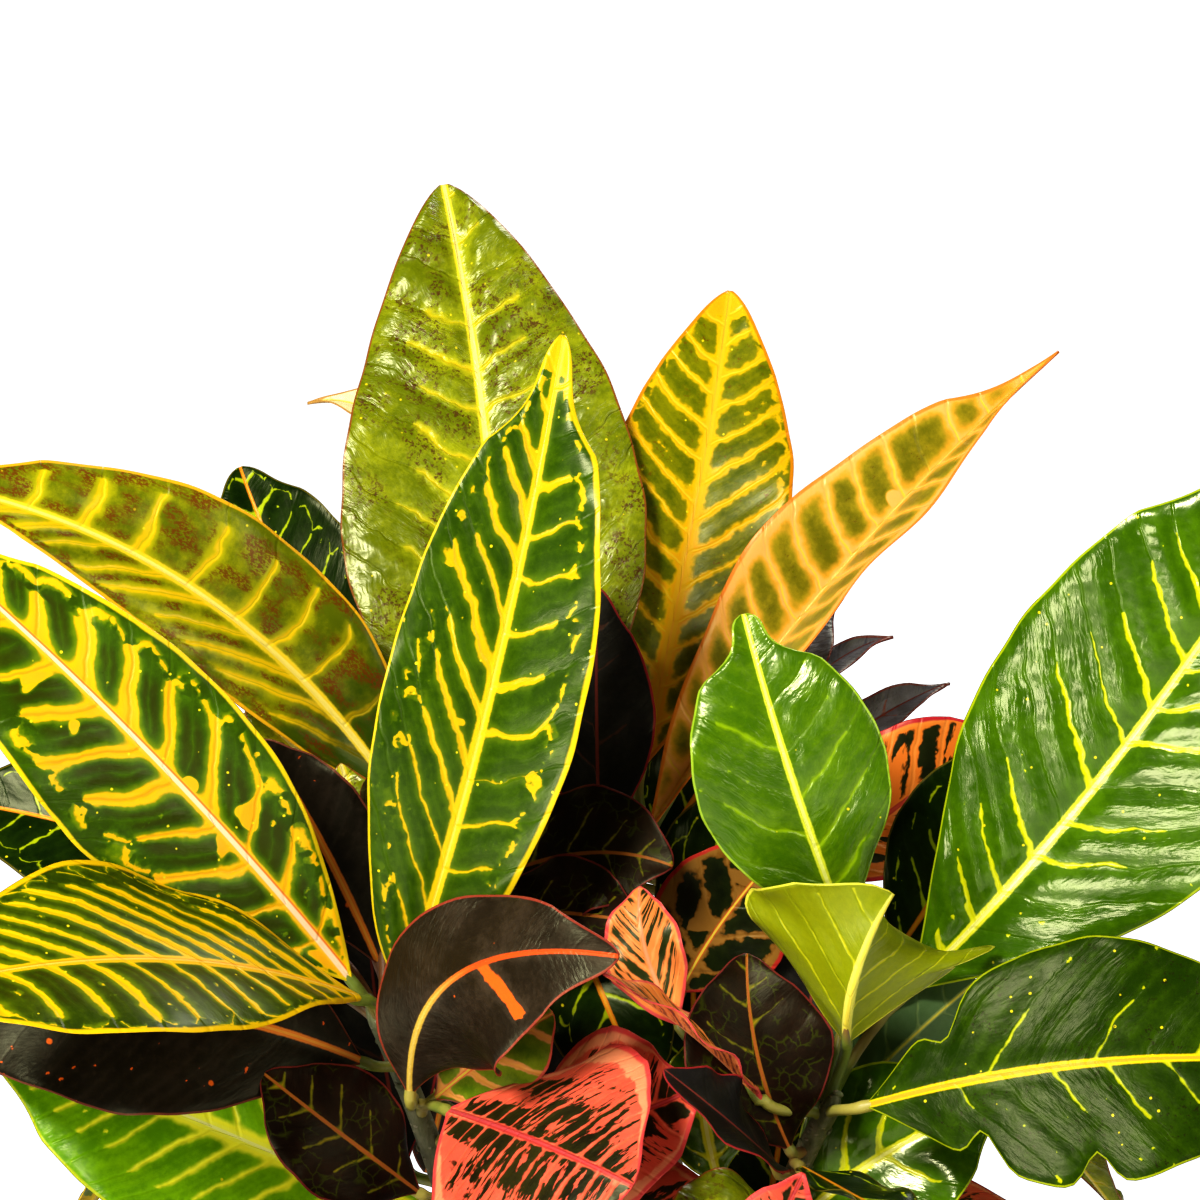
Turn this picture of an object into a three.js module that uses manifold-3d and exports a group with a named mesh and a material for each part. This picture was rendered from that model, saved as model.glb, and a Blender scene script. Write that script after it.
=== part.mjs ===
// A potted croton: a plain round pot filled with soil, and four leafy stems that stand in it.
// Millimetres, +Z up. The origin is the middle of the pot's underside, and the front faces -Y.
import * as THREE from "three";
import { mergeVertices } from "three/addons/utils/BufferGeometryUtils.js";
import Module from "manifold-3d";

const wasm = await Module();
wasm.setup();

// Pot
const potHeight = 150;
const potBaseRadius = 65;
const potWallTopRadius = 86;
const potWallTopHeight = 133;
const potRimRadius = 91;
const potWall = 2.2;
const potFloor = 3;
const potSides = 40;
const drainHoleRadius = 6;
const drainHoleCircle = 42;
const drainHoles = 6;

// Soil
const soilHeight = 135;
const soilRelief = 1.3;
const clearance = 0.3;

// Stems
const stemFootHeight = 95;
const stemFootRadius = 5.4;
const stemTopRadius = 3.1;
const budLength = 9;
const stemSides = 8;
const stemSteps = 8;
const stemLean = 10;

// Petioles
const petioleRootRadius = 2.1;
const petioleRadius = 1.5;
const petioleEndRadius = 1;
const petioleSides = 4;
const petioleSteps = 3;

// Blades
const bladeThickness = 0.8;
const ribDepth = 1;
const bladeColumns = 4;
const smallBladeWidth = 45;
const smallBladeColumns = 2;
const longBlade = 85;
const longRows = 7;
const shortRows = 6;
const notchedRows = 10;
const ribGrip = 7;

// The leaves are placed in a front view of the plant: how far right, how far up and how far
// towards the front each point lies. The view tilts down a little and its centre is in the crown.
const viewTilt = THREE.MathUtils.degToRad(8);
const viewDistance = 1150;
const viewCentre = new THREE.Vector3(0, 0, 420);
const rightWay = new THREE.Vector3(1, 0, 0);
const upWay = new THREE.Vector3(0, Math.sin(viewTilt), Math.cos(viewTilt));
const nearWay = new THREE.Vector3(0, -Math.cos(viewTilt), Math.sin(viewTilt));

function placed([right, up, near]) {
  const share = 1 - near / viewDistance;
  return viewCentre.clone()
    .addScaledVector(rightWay, right * share)
    .addScaledVector(upWay, up * share)
    .addScaledVector(nearWay, near);
}

function facing([right, up, near]) {
  return new THREE.Vector3()
    .addScaledVector(rightWay, right)
    .addScaledVector(upWay, up)
    .addScaledVector(nearWay, near)
    .normalize();
}

// Each stem's foot in the soil, the handle above it, and its top in the front view
const stems = {
  A: { foot: [-20, -26, stemFootHeight], rise: [-26, -30, 190], top: [-66, -127, 30] },
  B: { foot: [-24, 20, stemFootHeight], rise: [-28, 24, 200], top: [-28, -71, -22] },
  C: { foot: [26, -24, stemFootHeight], rise: [34, -30, 190], top: [68, -154, 55] },
  D: { foot: [24, 20, stemFootHeight], rise: [22, 22, 200], top: [20, -84, -18] },
};

// One entry a leaf: its stem, the base, middle and tip of its midrib, its width and the way its
// upper face looks. fold and curl lift the halves, sides scales the left and right half, and a
// notch is [side, place along the midrib, depth, spread]. A low full or point rounds the base or tip.
const leaves = [];

function leaf(stem, name, base, middle, tip, width, face, more = {}) {
  const shape = { fold: 12, curl: 0, wave: 1.5, waves: 3, widest: 0.5, full: 1.1, point: 0.7 };
  const rest = { drip: 0.15, tipFace: face, sides: [1, 1], notches: [], order: leaves.length };
  leaves.push({ stem, name, base, middle, tip, width, face, ...shape, ...rest, ...more });
}

// Front left stem
leaf("A", "frontCentre", [-58, -117, 38], [-31, -20, 55], [-11, 80, 45], 61, [-0.15, 0.1, 1],
  { fold: 18, widest: 0.46, full: 0.7, point: 0.8, drip: 0.4 });
leaf("A", "bigLeft", [-74, -115, 42], [-136, -45, 72], [-207, 21, 85], 66, [-0.1, 0.3, 1],
  { fold: 10, widest: 0.48, sides: [1, 0.82] });
leaf("A", "leftLevel", [-70, -120, 48], [-138, -108, 102], [-213, -120, 128], 70, [0, 0.75, 0.65],
  { fold: 8, widest: 0.52 });
leaf("A", "purpleLow", [-70, -139, 40], [-135, -122, 58], [-207, -126, 55], 64, [0, 0.35, 0.95],
  { fold: 5 });
leaf("A", "greenLow", [-51, -187, 28], [-114, -159, 38], [-184, -130, 32], 72, [0, 0.3, 0.95], { fold: 8 });
leaf("A", "duskyLow", [-54, -178, 40], [-78, -160, 56], [-101, -142, 56], 38, [0, 0.4, 0.9], { fold: 5 });
leaf("A", "duskyFront", [-57, -149, 48], [-43, -113, 80], [6, -107, 110], 52, [-0.1, 0.35, 0.95],
  { fold: -6, widest: 0.48, sides: [0.85, 1.15] });
leaf("A", "redFront", [-46, -153, 52], [-18, -163, 95], [10, -176, 115], 78, [0, 0.5, 0.85], { fold: -5 });
leaf("A", "redRight", [-30, -160, 35], [3, -156, 58], [29, -146, 72], 54, [0, 0.4, 0.9], { fold: 5 });
leaf("A", "redLow", [-30, -214, 42], [2, -188, 62], [42, -196, 62], 52, [0, 0.6, 0.8], { fold: 5 });
leaf("A", "darkLeft", [-81, -105, 20], [-135, -75, 10], [-198, -60, 0], 60, [0, 0.5, 0.85]);
leaf("A", "duskyLeft", [-81, -116, 25], [-120, -90, 30], [-152, -68, 30], 42, [0, 0.5, 0.85]);
leaf("A", "duskyMid", [-66, -110, 20], [-84, -72, 28], [-102, -42, 30], 34, [0, 0.2, 1]);
leaf("A", "creamMid", [-50, -150, 38], [-30, -134, 55], [-14, -124, 58], 34, [0, 0.3, 1]);
leaf("A", "oliveTwist", [-66, -98, 18], [-72, -70, 12], [-78, -49, 8], 20, [0.3, 0.3, 1]);
leaf("A", "redEdge", [-60, -100, 26], [-66, -66, 24], [-60, -36, 14], 26, [-0.95, 0, 0.3]);
// Back left stem
leaf("B", "tallBack", [-31, -48, -15], [-33, 36, -35], [-47, 125, -70], 94, [0.05, 0.2, 1],
  { fold: 6, widest: 0.42, full: 0.85, point: 0.72, drip: 0 });
leaf("B", "archLeft", [-60, -60, -8], [-122, 3, 15], [-203, 35, 40], 54, [-0.2, 0.45, 0.85],
  { fold: 22, curl: -25, widest: 0.42, full: 0.9, sides: [0.75, 1.05] });
leaf("B", "darkBack", [-60, -60, -40], [-90, -3, -55], [-108, 40, -70], 54, [0, 0.2, 1], { fold: 18 });
leaf("B", "thinTip", [-30, -57, -45], [-51, 36, -95], [-88, 59, -120], 30, [0, 0.5, 0.8],
  { fold: 40, point: 1.3 });
leaf("B", "maroonTop", [-33, -84, 0], [-4, -76, 20], [22, -80, 32], 40, [0, 0.3, 1], { fold: 8 });
leaf("B", "maroonLow", [-36, -93, 8], [-10, -94, 26], [12, -97, 36], 34, [0, 0.3, 1]);
leaf("B", "oliveSmall", [-64, -74, -12], [-86, -50, -10], [-106, -30, -10], 28, [0, 0.3, 1]);
leaf("B", "backMid", [-26, -78, -42], [-22, -35, -105], [-18, -62, -180], 62, [0, 1, -0.3], { fold: 15 });
leaf("B", "backLeftHigh", [-42, -78, -38], [-78, -40, -95], [-108, -62, -165], 60, [-0.2, 1, -0.3],
  { fold: 12 });
leaf("B", "backLeftLow", [-42, -104, -24], [-95, -98, -75], [-150, -140, -112], 58, [-0.2, 1, -0.2],
  { fold: 10 });
leaf("B", "backLow", [-28, -125, -36], [-38, -118, -100], [-52, -172, -152], 60, [-0.1, 1, -0.3],
  { fold: 10 });
leaf("B", "lowLeft", [-46, -196, -8], [-105, -186, -25], [-165, -220, -35], 58, [-0.2, 1, 0.1],
  { fold: 10 });
leaf("B", "lowBackLeft", [-36, -205, -34], [-62, -192, -98], [-88, -235, -148], 58, [-0.2, 1, -0.2],
  { fold: 10 });
leaf("B", "midLeft", [-46, -152, -18], [-105, -140, -55], [-158, -188, -85], 58, [-0.2, 1, -0.1],
  { fold: 10 });
leaf("B", "midBack", [-10, -160, -45], [-5, -150, -110], [5, -205, -165], 58, [0, 1, -0.3], { fold: 10 });
// Back right stem
leaf("D", "goldBack", [12, -52, -22], [28, 24, -40], [39, 93, -70], 60, [0, 0.2, 1],
  { fold: 8, point: 0.75, drip: 0.05 });
leaf("D", "goldRight", [14, -70, -8], [70, 6, -12], [138, 75, -20], 52, [-0.45, 0.45, 0.77],
  { fold: 38, point: 1.25, drip: 0.3 });
leaf("D", "redBack", [60, -85, -12], [92, -60, -8], [123, -40, -12], 44, [0, 0.2, 1]);
leaf("D", "duskA", [36, -60, -40], [57, -24, -70], [71, 1, -95], 17, [0.3, 0.3, 1],
  { fold: 30, point: 1.1 });
leaf("D", "duskB", [33, -69, -45], [60, -28, -75], [88, -11, -95], 14, [0, 0.5, 0.8],
  { fold: 30, point: 1.1 });
leaf("D", "duskC", [36, -75, -35], [74, -42, -55], [105, -25, -70], 18, [0, 0.5, 0.8],
  { fold: 30, point: 1.1 });
leaf("D", "tanBlotch", [24, -118, 2], [37, -96, 12], [57, -72, 15], 42, [0, 0.2, 1], { fold: 10 });
leaf("D", "darkUpright", [0, -75, -5], [-1, -36, -8], [-1, 4, -12], 36, [0, 0.2, 1]);
leaf("D", "darkBehind", [15, -72, -30], [12, -45, -38], [13, -20, -45], 32, [0, 0.2, 1]);
leaf("D", "blackRib", [12, -84, -28], [30, -57, -30], [48, -30, -35], 46, [0, 0.2, 1]);
leaf("D", "blackRibLow", [16, -94, -5], [36, -76, -8], [57, -60, -12], 34, [0, 0.2, 1]);
leaf("D", "darkGreenMid", [-8, -98, 12], [3, -124, 26], [14, -150, 26], 38, [0, 0.3, 1]);
leaf("D", "backRightHigh", [32, -86, -34], [72, -52, -95], [102, -80, -160], 60, [0.2, 1, -0.3],
  { fold: 12 });
leaf("D", "backRightMid", [38, -106, -22], [100, -92, -70], [150, -128, -112], 58, [0.2, 1, -0.2],
  { fold: 10 });
leaf("D", "backRightLow", [30, -130, -32], [58, -122, -98], [78, -172, -150], 58, [0.1, 1, -0.3],
  { fold: 10 });
leaf("D", "lowBackRight", [34, -205, -34], [66, -192, -95], [95, -235, -145], 58, [0.2, 1, -0.2],
  { fold: 10 });
leaf("D", "lowRightBack", [46, -196, -6], [110, -184, -28], [165, -222, -40], 58, [0.2, 1, 0.1],
  { fold: 10 });
leaf("D", "midRight", [44, -152, -16], [104, -140, -55], [158, -188, -85], 58, [0.2, 1, -0.1],
  { fold: 10 });
// Front right stem
leaf("C", "smallGreen", [74, -100, 42], [57, -52, 58], [43, -4, 52], 56, [0, 0.1, 1],
  { fold: 6, drip: 0.5 });
leaf("C", "underFront", [74, -133, 64], [77, -112, 84], [88, -88, 86], 92, [0.2, 0.5, -0.85],
  { tipFace: [0.1, 0.9, -0.4], fold: 38, sides: [1.1, 0.9], notches: [[-1, 0.34, 0.3, 0.06]] });
leaf("C", "bigRight", [92, -118, 32], [153, -50, 62], [216, 42, 88], 90, [-0.1, 0.3, 1],
  { fold: 6, widest: 0.58, full: 0.9, point: 0.5 });
leaf("C", "greenBehind", [86, -110, 12], [110, -74, 4], [130, -40, 0], 46, [0, 0.3, 1]);
leaf("C", "notchedRight", [79, -152, 72], [147, -139, 92], [216, -139, 98], 70, [0, 0.35, 0.95],
  { fold: 4, notches: [[-1, 0.2, 0.4, 0.04], [1, 0.25, 0.4, 0.04], [1, 0.5, 0.28, 0.04]] });
leaf("C", "duskyHang", [57, -165, 58], [47, -136, 68], [44, -106, 62], 44, [0.1, 0.1, 1], { fold: 14 });
leaf("C", "paleUnder", [66, -158, 40], [88, -136, 34], [113, -114, 26], 44, [0, 0.2, -1]);
leaf("C", "greenUnder", [60, -186, 40], [86, -166, 46], [119, -150, 46], 52, [0, 0.3, 1]);
leaf("C", "strip", [60, -170, 62], [78, -180, 86], [105, -194, 108], 32, [0.2, 1, 0.05]);
leaf("C", "blackFold", [55, -172, 66], [40, -158, 88], [19, -141, 92], 32, [0.3, 0.8, 0.5], { fold: 15 });
leaf("C", "oliveLow", [55, -190, 60], [38, -186, 74], [20, -196, 80], 30, [0, 0.6, 0.8]);
leaf("C", "pinkTip", [38, -214, 62], [50, -194, 82], [61, -172, 100], 28, [0, 0.3, 1]);
leaf("C", "greenUpright", [36, -176, 40], [31, -153, 46], [30, -130, 38], 26, [0, 0.2, 1]);
leaf("C", "pinkUpright", [24, -128, 62], [14, -106, 66], [12, -86, 58], 24, [-0.3, 0.1, 1]);
leaf("C", "pinkRibbon", [49, -150, 68], [28, -130, 78], [1, -112, 92], 22, [0.3, 0.9, 0.2], { fold: 15 });
leaf("C", "lowRight", [52, -222, 46], [112, -212, 76], [170, -245, 96], 60, [0.2, 1, 0.3], { fold: 10 });
leaf("C", "lowFrontRight", [42, -242, 52], [62, -246, 105], [85, -288, 142], 56, [0.1, 1, 0.4],
  { fold: 10 });
// Front left stem
leaf("A", "lowFrontLeft", [-46, -212, 44], [-84, -205, 95], [-130, -240, 128], 58, [-0.2, 1, 0.3],
  { fold: 10 });
leaf("A", "lowFront", [-26, -236, 46], [-16, -238, 98], [-8, -280, 138], 58, [0, 1, 0.4], { fold: 10 });
// Dark leaves deep in the crown
leaf("A", "innerLeft", [-58, -170, 8], [-66, -130, 4], [-70, -88, 0], 36, [0, 0.2, 1]);
leaf("D", "innerCentre", [4, -170, -12], [-4, -138, -6], [-14, -108, -6], 38, [0, 0.2, 1]);
leaf("C", "innerRight", [56, -172, 22], [62, -134, 14], [64, -96, 8], 38, [0, 0.2, 1]);
leaf("C", "innerLow", [46, -202, 32], [52, -174, 31], [55, -150, 29], 32, [0, 0.2, 1], { fold: 4 });
leaf("D", "innerDeep", [26, -150, -14], [28, -122, -10], [26, -92, -14], 36, [0, 0.2, 1]);

function stemCurve(stem) {
  const rise = new THREE.Vector3(...stem.rise);
  const top = placed(stem.top);
  const lean = rise.clone().add(top).multiplyScalar(0.5).add(new THREE.Vector3(0, 0, stemLean));
  return new THREE.CubicBezierCurve3(new THREE.Vector3(...stem.foot), rise, lean, top);
}

function midribCurve(entry) {
  const base = placed(entry.base);
  const tip = placed(entry.tip);
  const handle = placed(entry.middle).multiplyScalar(2);
  handle.addScaledVector(base, -0.5).addScaledVector(tip, -0.5);
  return new THREE.QuadraticBezierCurve3(base, handle, tip);
}

function midribTangent(entry, t) {
  const curve = midribCurve(entry);
  const first = curve.v1.clone().sub(curve.v0).multiplyScalar(1 - t);
  const second = curve.v2.clone().sub(curve.v1).multiplyScalar(t);
  return first.add(second).normalize();
}

function halfWidth(entry, t, side) {
  const bend = Math.log(0.5) / Math.log(entry.widest);
  const arc = Math.max(Math.sin(Math.PI * t ** bend), 0);
  const tipShare = THREE.MathUtils.clamp((t - 0.82) / 0.18, 0, 1);
  let width = arc ** THREE.MathUtils.lerp(entry.full, entry.point, t);
  width *= 1 - entry.drip * Math.sin(Math.PI * tipShare);
  for (const [which, at, depth, spread] of entry.notches) {
    if (which * side > 0) width *= 1 - depth * Math.exp(-(((t - at) / spread) ** 2));
  }
  return (entry.width / 2) * width * (side < 0 ? entry.sides[0] : entry.sides[1]);
}

// A point of the blade's middle surface and the way its upper face looks there
function bladePoint(entry, t, v) {
  const curve = midribCurve(entry);
  const tangent = midribTangent(entry, t);
  const face = facing(entry.face).lerp(facing(entry.tipFace), t);
  face.addScaledVector(tangent, -face.dot(tangent)).normalize();
  const across = tangent.clone().cross(face);
  const reach = Math.abs(v) * halfWidth(entry, t, Math.sign(v));
  const angle = THREE.MathUtils.degToRad(entry.fold + (entry.curl * Math.abs(v)) / 2);
  const phase = entry.order * 1.7 + (v < 0 ? 1.1 : 0);
  const ripple = entry.wave * v * v * Math.sin(2 * Math.PI * entry.waves * t + phase)
    * Math.sqrt(Math.max(Math.sin(Math.PI * t), 0));
  const point = curve.getPoint(t)
    .addScaledVector(across, Math.sign(v) * reach * Math.cos(angle))
    .addScaledVector(face, reach * Math.sin(angle) + ripple);
  return { point, face };
}

// Turns a closed geometry into a solid, with its faces outwards
function solidOf(geometry) {
  for (const name of ["normal", "uv"]) geometry.deleteAttribute(name);
  const merged = mergeVertices(geometry, 1e-4);
  const place = merged.getAttribute("position");
  const kept = [];
  let volume = 0;
  const corners = [new THREE.Vector3(), new THREE.Vector3(), new THREE.Vector3()];
  for (let i = 0; i < merged.index.count; i += 3) {
    const [a, b, c] = [0, 1, 2].map((k) => merged.index.getX(i + k));
    if (a === b || b === c || c === a) continue;
    kept.push([a, b, c]);
    [a, b, c].forEach((index, k) => corners[k].fromBufferAttribute(place, index));
    volume += corners[0].dot(corners[1].clone().cross(corners[2]));
  }
  const triVerts = new Uint32Array(kept.flatMap(([a, b, c]) => (volume > 0 ? [a, b, c] : [a, c, b])));
  const vertProperties = new Float32Array(place.array);
  return new wasm.Manifold(new wasm.Mesh({ numProp: 3, vertProperties, triVerts }));
}

function geometryOf(solid) {
  const mesh = solid.getMesh();
  const geometry = new THREE.BufferGeometry();
  geometry.setAttribute("position", new THREE.BufferAttribute(mesh.vertProperties, 3));
  geometry.setIndex(new THREE.BufferAttribute(mesh.triVerts, 1));
  geometry.computeVertexNormals();
  return geometry;
}

function geometryFrom(points, triangles) {
  const geometry = new THREE.BufferGeometry();
  geometry.setFromPoints(points);
  geometry.setIndex(triangles);
  return geometry;
}

// A round rod through the points, with a radius of its own at each
function rod(points, radii, sides) {
  const path = new THREE.CatmullRomCurve3(points);
  const steps = points.length - 1;
  const frames = path.computeFrenetFrames(steps, false);
  const corners = [];
  const triangles = [];
  points.forEach((point, i) => {
    for (let k = 0; k < sides; k += 1) {
      const angle = (2 * Math.PI * k) / sides;
      corners.push(point.clone()
        .addScaledVector(frames.normals[i], Math.cos(angle) * radii[i])
        .addScaledVector(frames.binormals[i], Math.sin(angle) * radii[i]));
    }
  });
  for (let i = 0; i < steps; i += 1) {
    for (let k = 0; k < sides; k += 1) {
      const a = i * sides + k;
      const b = i * sides + ((k + 1) % sides);
      triangles.push(a, b, b + sides, a, b + sides, a + sides);
    }
  }
  for (let k = 1; k < sides - 1; k += 1) {
    const last = steps * sides;
    triangles.push(0, k + 1, k, last, last + k, last + k + 1);
  }
  return solidOf(geometryFrom(corners, triangles));
}

// A thin leaf blade with a rib below its midrib, split alike on both faces
function blade(entry) {
  const length = midribCurve(entry).getLength();
  const rows = entry.notches.length ? notchedRows : length > longBlade ? longRows : shortRows;
  const columns = entry.width < smallBladeWidth ? smallBladeColumns : bladeColumns;
  const points = [];
  const triangles = [];
  const half = bladeThickness / 2 / Math.cos(THREE.MathUtils.degToRad(Math.abs(entry.fold)));
  const upper = (i, j) => 2 * (i === 0 ? 0 : i === rows ? 1 + (rows - 1) * (columns + 1)
    : 1 + (i - 1) * (columns + 1) + j);
  for (let i = 0; i <= rows; i += 1) {
    const even = i / rows;
    const t = THREE.MathUtils.lerp(even, 0.5 - 0.5 * Math.cos(Math.PI * even), 0.3);
    const ends = i === 0 || i === rows;
    for (let j = 0; j <= (ends ? 0 : columns); j += 1) {
      const v = ends ? 0 : (2 * j) / columns - 1;
      const { point, face } = bladePoint(entry, t, v);
      const rib = !ends && v === 0 ? ribDepth * (1 - 0.7 * t) : 0;
      points.push(point.clone().addScaledVector(face, half));
      points.push(point.clone().addScaledVector(face, -half - rib));
    }
  }
  const quad = (a, b, c, d) => {
    const split = a !== b && c !== d ? [[a, b, c], [a, c, d]] : [a === b ? [a, c, d] : [a, b, c]];
    for (const [p, q, r] of split) triangles.push(p, q, r, p + 1, r + 1, q + 1);
  };
  const wall = (a, b) => triangles.push(a, a + 1, b + 1, a, b + 1, b);
  for (let i = 0; i < rows; i += 1) {
    for (let j = 0; j < columns; j += 1) {
      // the diagonals lean the same way on both sides of the midrib
      if (j < columns / 2) quad(upper(i, j), upper(i, j + 1), upper(i + 1, j + 1), upper(i + 1, j));
      else quad(upper(i + 1, j + 1), upper(i + 1, j), upper(i, j), upper(i, j + 1));
    }
    wall(upper(i + 1, 0), upper(i, 0));
    wall(upper(i, columns), upper(i + 1, columns));
  }
  return solidOf(geometryFrom(points, triangles));
}

// Where a leaf's petiole leaves its stem: as high as the blade's base, less a third of the way out
function petioleRoot(curve, base) {
  let best = Infinity;
  let root = null;
  for (let k = 0; k < 60; k += 1) {
    const point = curve.getPoint(0.1 + (0.885 * k) / 59);
    const out = Math.hypot(point.x - base.x, point.y - base.y);
    const miss = Math.abs(point.z + 0.35 * out - base.z);
    if (miss < best) {
      best = miss;
      root = point;
    }
  }
  return root;
}

function petiole(entry, curve) {
  const base = placed(entry.base);
  const root = petioleRoot(curve, base);
  const length = root.distanceTo(base);
  const out = base.clone().sub(root).divideScalar(length);
  const first = root.clone().addScaledVector(out, 0.21 * length);
  first.z += 0.14 * length;
  const second = base.clone().addScaledVector(midribTangent(entry, 0), -0.35 * length);
  const path = new THREE.CubicBezierCurve3(root, first, second, base);
  const points = [];
  const radii = [];
  for (let i = 0; i <= petioleSteps; i += 1) {
    const share = i / petioleSteps;
    points.push(path.getPoint(share));
    radii.push(THREE.MathUtils.lerp(petioleRootRadius, petioleRadius, Math.min(share * 2, 1)));
  }
  points.push(midribCurve(entry).getPoint(Math.min(0.1, ribGrip / midribCurve(entry).getLength())));
  radii.push(petioleEndRadius);
  return rod(points, radii, petioleSides);
}

function woodyStem(curve) {
  const points = [];
  const radii = [];
  for (let i = 0; i <= stemSteps; i += 1) {
    const share = i / stemSteps;
    points.push(curve.getPoint(share));
    radii.push(THREE.MathUtils.lerp(stemFootRadius, stemTopRadius, share ** 0.8));
  }
  const up = curve.getTangent(1);
  points.push(points[stemSteps].clone().addScaledVector(up, budLength * 0.6));
  radii.push(stemTopRadius * 0.75);
  points.push(points[stemSteps].clone().addScaledVector(up, budLength));
  radii.push(0.5);
  return rod(points, radii, stemSides);
}

function leafyStem(key) {
  const curve = stemCurve(stems[key]);
  let whole = woodyStem(curve);
  for (const entry of leaves.filter((one) => one.stem === key)) {
    whole = whole.add(petiole(entry, curve)).add(blade(entry));
  }
  return whole;
}

// The hole that a stem stands in, wider than the stem by the clearance
function stemHole(key) {
  const curve = stemCurve(stems[key]);
  const down = curve.getTangent(0).negate();
  const points = [curve.getPoint(0).addScaledVector(down, clearance)];
  const radii = [stemFootRadius + clearance];
  for (let i = 1; i <= 3; i += 1) {
    const share = i / stemSteps;
    points.push(curve.getPoint(share));
    radii.push(THREE.MathUtils.lerp(stemFootRadius, stemTopRadius, share ** 0.8) + clearance + 0.15);
  }
  return rod(points, radii, 8);
}

function turned(profile, sides) {
  const shape = new THREE.LatheGeometry(profile.map(([r, z]) => new THREE.Vector2(r, z)), sides);
  return shape.rotateX(Math.PI / 2);
}

function pot() {
  const inner = potWallTopRadius - potWall;
  let body = solidOf(turned([
    [0, 0],
    [potBaseRadius - 2, 0],
    [potBaseRadius, 2],
    [potWallTopRadius, potWallTopHeight],
    [potRimRadius - 1, potWallTopHeight + 1.5],
    [potRimRadius, potWallTopHeight + 4],
    [potRimRadius + 0.6, potHeight - 2],
    [potRimRadius - 0.6, potHeight - 0.4],
    [potRimRadius - 2, potHeight],
    [potRimRadius - 3.6, potHeight - 1],
    [inner, potWallTopHeight],
    [potBaseRadius - potWall, potFloor],
    [0, potFloor],
  ], potSides));
  for (let k = 0; k < drainHoles; k += 1) {
    const angle = (2 * Math.PI * (k + 0.5)) / drainHoles;
    const hole = new THREE.CylinderGeometry(drainHoleRadius, drainHoleRadius, 3 * potFloor, 12);
    hole.rotateX(Math.PI / 2);
    hole.translate(drainHoleCircle * Math.cos(angle), drainHoleCircle * Math.sin(angle), potFloor / 2);
    body = body.subtract(solidOf(hole));
  }
  return body;
}

function soil() {
  const innerAt = (z) => THREE.MathUtils.mapLinear(
    z, potFloor, potWallTopHeight, potBaseRadius - potWall, potWallTopRadius - potWall);
  const foot = potFloor + clearance;
  const shape = turned([
    [0, foot],
    [innerAt(foot) - clearance, foot],
    [innerAt(soilHeight - 3) - clearance - 0.1, soilHeight - 3],
    [72, soilHeight - 1],
    [50, soilHeight],
    [26, soilHeight + 0.6],
    [0, soilHeight + 1],
  ], potSides);
  const place = shape.getAttribute("position");
  for (let i = 0; i < place.count; i += 1) {
    const [x, y, z] = [place.getX(i), place.getY(i), place.getZ(i)];
    const inside = z > soilHeight - 2 && Math.hypot(x, y) > 1;
    if (inside) place.setZ(i, z + soilRelief * Math.sin(0.13 * x + 1) * Math.cos(0.17 * y + 0.05 * x));
  }
  let body = solidOf(shape);
  for (const key of Object.keys(stems)) body = body.subtract(stemHole(key));
  return body;
}

function piece(name, solid, color, roughness) {
  const material = new THREE.MeshStandardMaterial({ color, roughness, metalness: 0 });
  const mesh = new THREE.Mesh(geometryOf(solid), material);
  mesh.name = name;
  return mesh;
}

const croton = new THREE.Group();
croton.add(piece("pot", pot(), 0x3a3836, 0.55));
croton.add(piece("soil", soil(), 0x2c2019, 0.95));
croton.add(piece("leafy_stem_front_left", leafyStem("A"), 0x2f6b1c, 0.35));
croton.add(piece("leafy_stem_back_left", leafyStem("B"), 0x7d8a2a, 0.4));
croton.add(piece("leafy_stem_front_right", leafyStem("C"), 0x3c8a24, 0.3));
croton.add(piece("leafy_stem_back_right", leafyStem("D"), 0xb58a26, 0.4));

export default croton;
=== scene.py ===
import math
import bpy
import numpy as np
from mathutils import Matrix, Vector


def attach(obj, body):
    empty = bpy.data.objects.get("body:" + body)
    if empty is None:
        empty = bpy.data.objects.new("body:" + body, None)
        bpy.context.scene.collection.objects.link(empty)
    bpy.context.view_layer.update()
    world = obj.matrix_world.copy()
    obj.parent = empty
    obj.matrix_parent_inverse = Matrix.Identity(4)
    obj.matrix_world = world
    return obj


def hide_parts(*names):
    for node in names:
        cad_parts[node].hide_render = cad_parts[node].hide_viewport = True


# Dresses the potted croton: leaf blades, woody stems and petioles, compost and pot.
# Lengths inside the plant's own formulas are millimetres, and turn to metres as a mesh is made.

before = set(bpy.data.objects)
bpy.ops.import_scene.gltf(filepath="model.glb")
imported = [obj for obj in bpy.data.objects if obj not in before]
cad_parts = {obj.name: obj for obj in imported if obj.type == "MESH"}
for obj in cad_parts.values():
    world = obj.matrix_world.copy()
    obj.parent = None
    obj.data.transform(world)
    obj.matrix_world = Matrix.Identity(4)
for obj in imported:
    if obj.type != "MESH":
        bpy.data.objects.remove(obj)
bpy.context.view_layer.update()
print("frame loaded")

mm = 0.001
seedOf = {"leaves": 11, "grit": 8}

# the front view that the plant is laid out in: right, up and towards the front, tilted down a little
view = {"tilt": math.radians(8), "distance": 1150, "centre": (0, 0, 420), "frameWidth": 360, "sensor": 36}
viewCentre = np.array(view["centre"], float)
rightWay = np.array([1.0, 0.0, 0.0])
upWay = np.array([0.0, math.sin(view["tilt"]), math.cos(view["tilt"])])
nearWay = np.array([0.0, -math.cos(view["tilt"]), math.sin(view["tilt"])])


def placed(spot):
    right, up, near = spot
    share = 1 - near / view["distance"]
    return viewCentre + rightWay * right * share + upWay * up * share + nearWay * near


def facing(way):
    right, up, near = way
    return unit(rightWay * right + upWay * up + nearWay * near)


def unit(vectors):
    return vectors / np.maximum(np.linalg.norm(vectors, axis=-1, keepdims=True), 1e-9)


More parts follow.
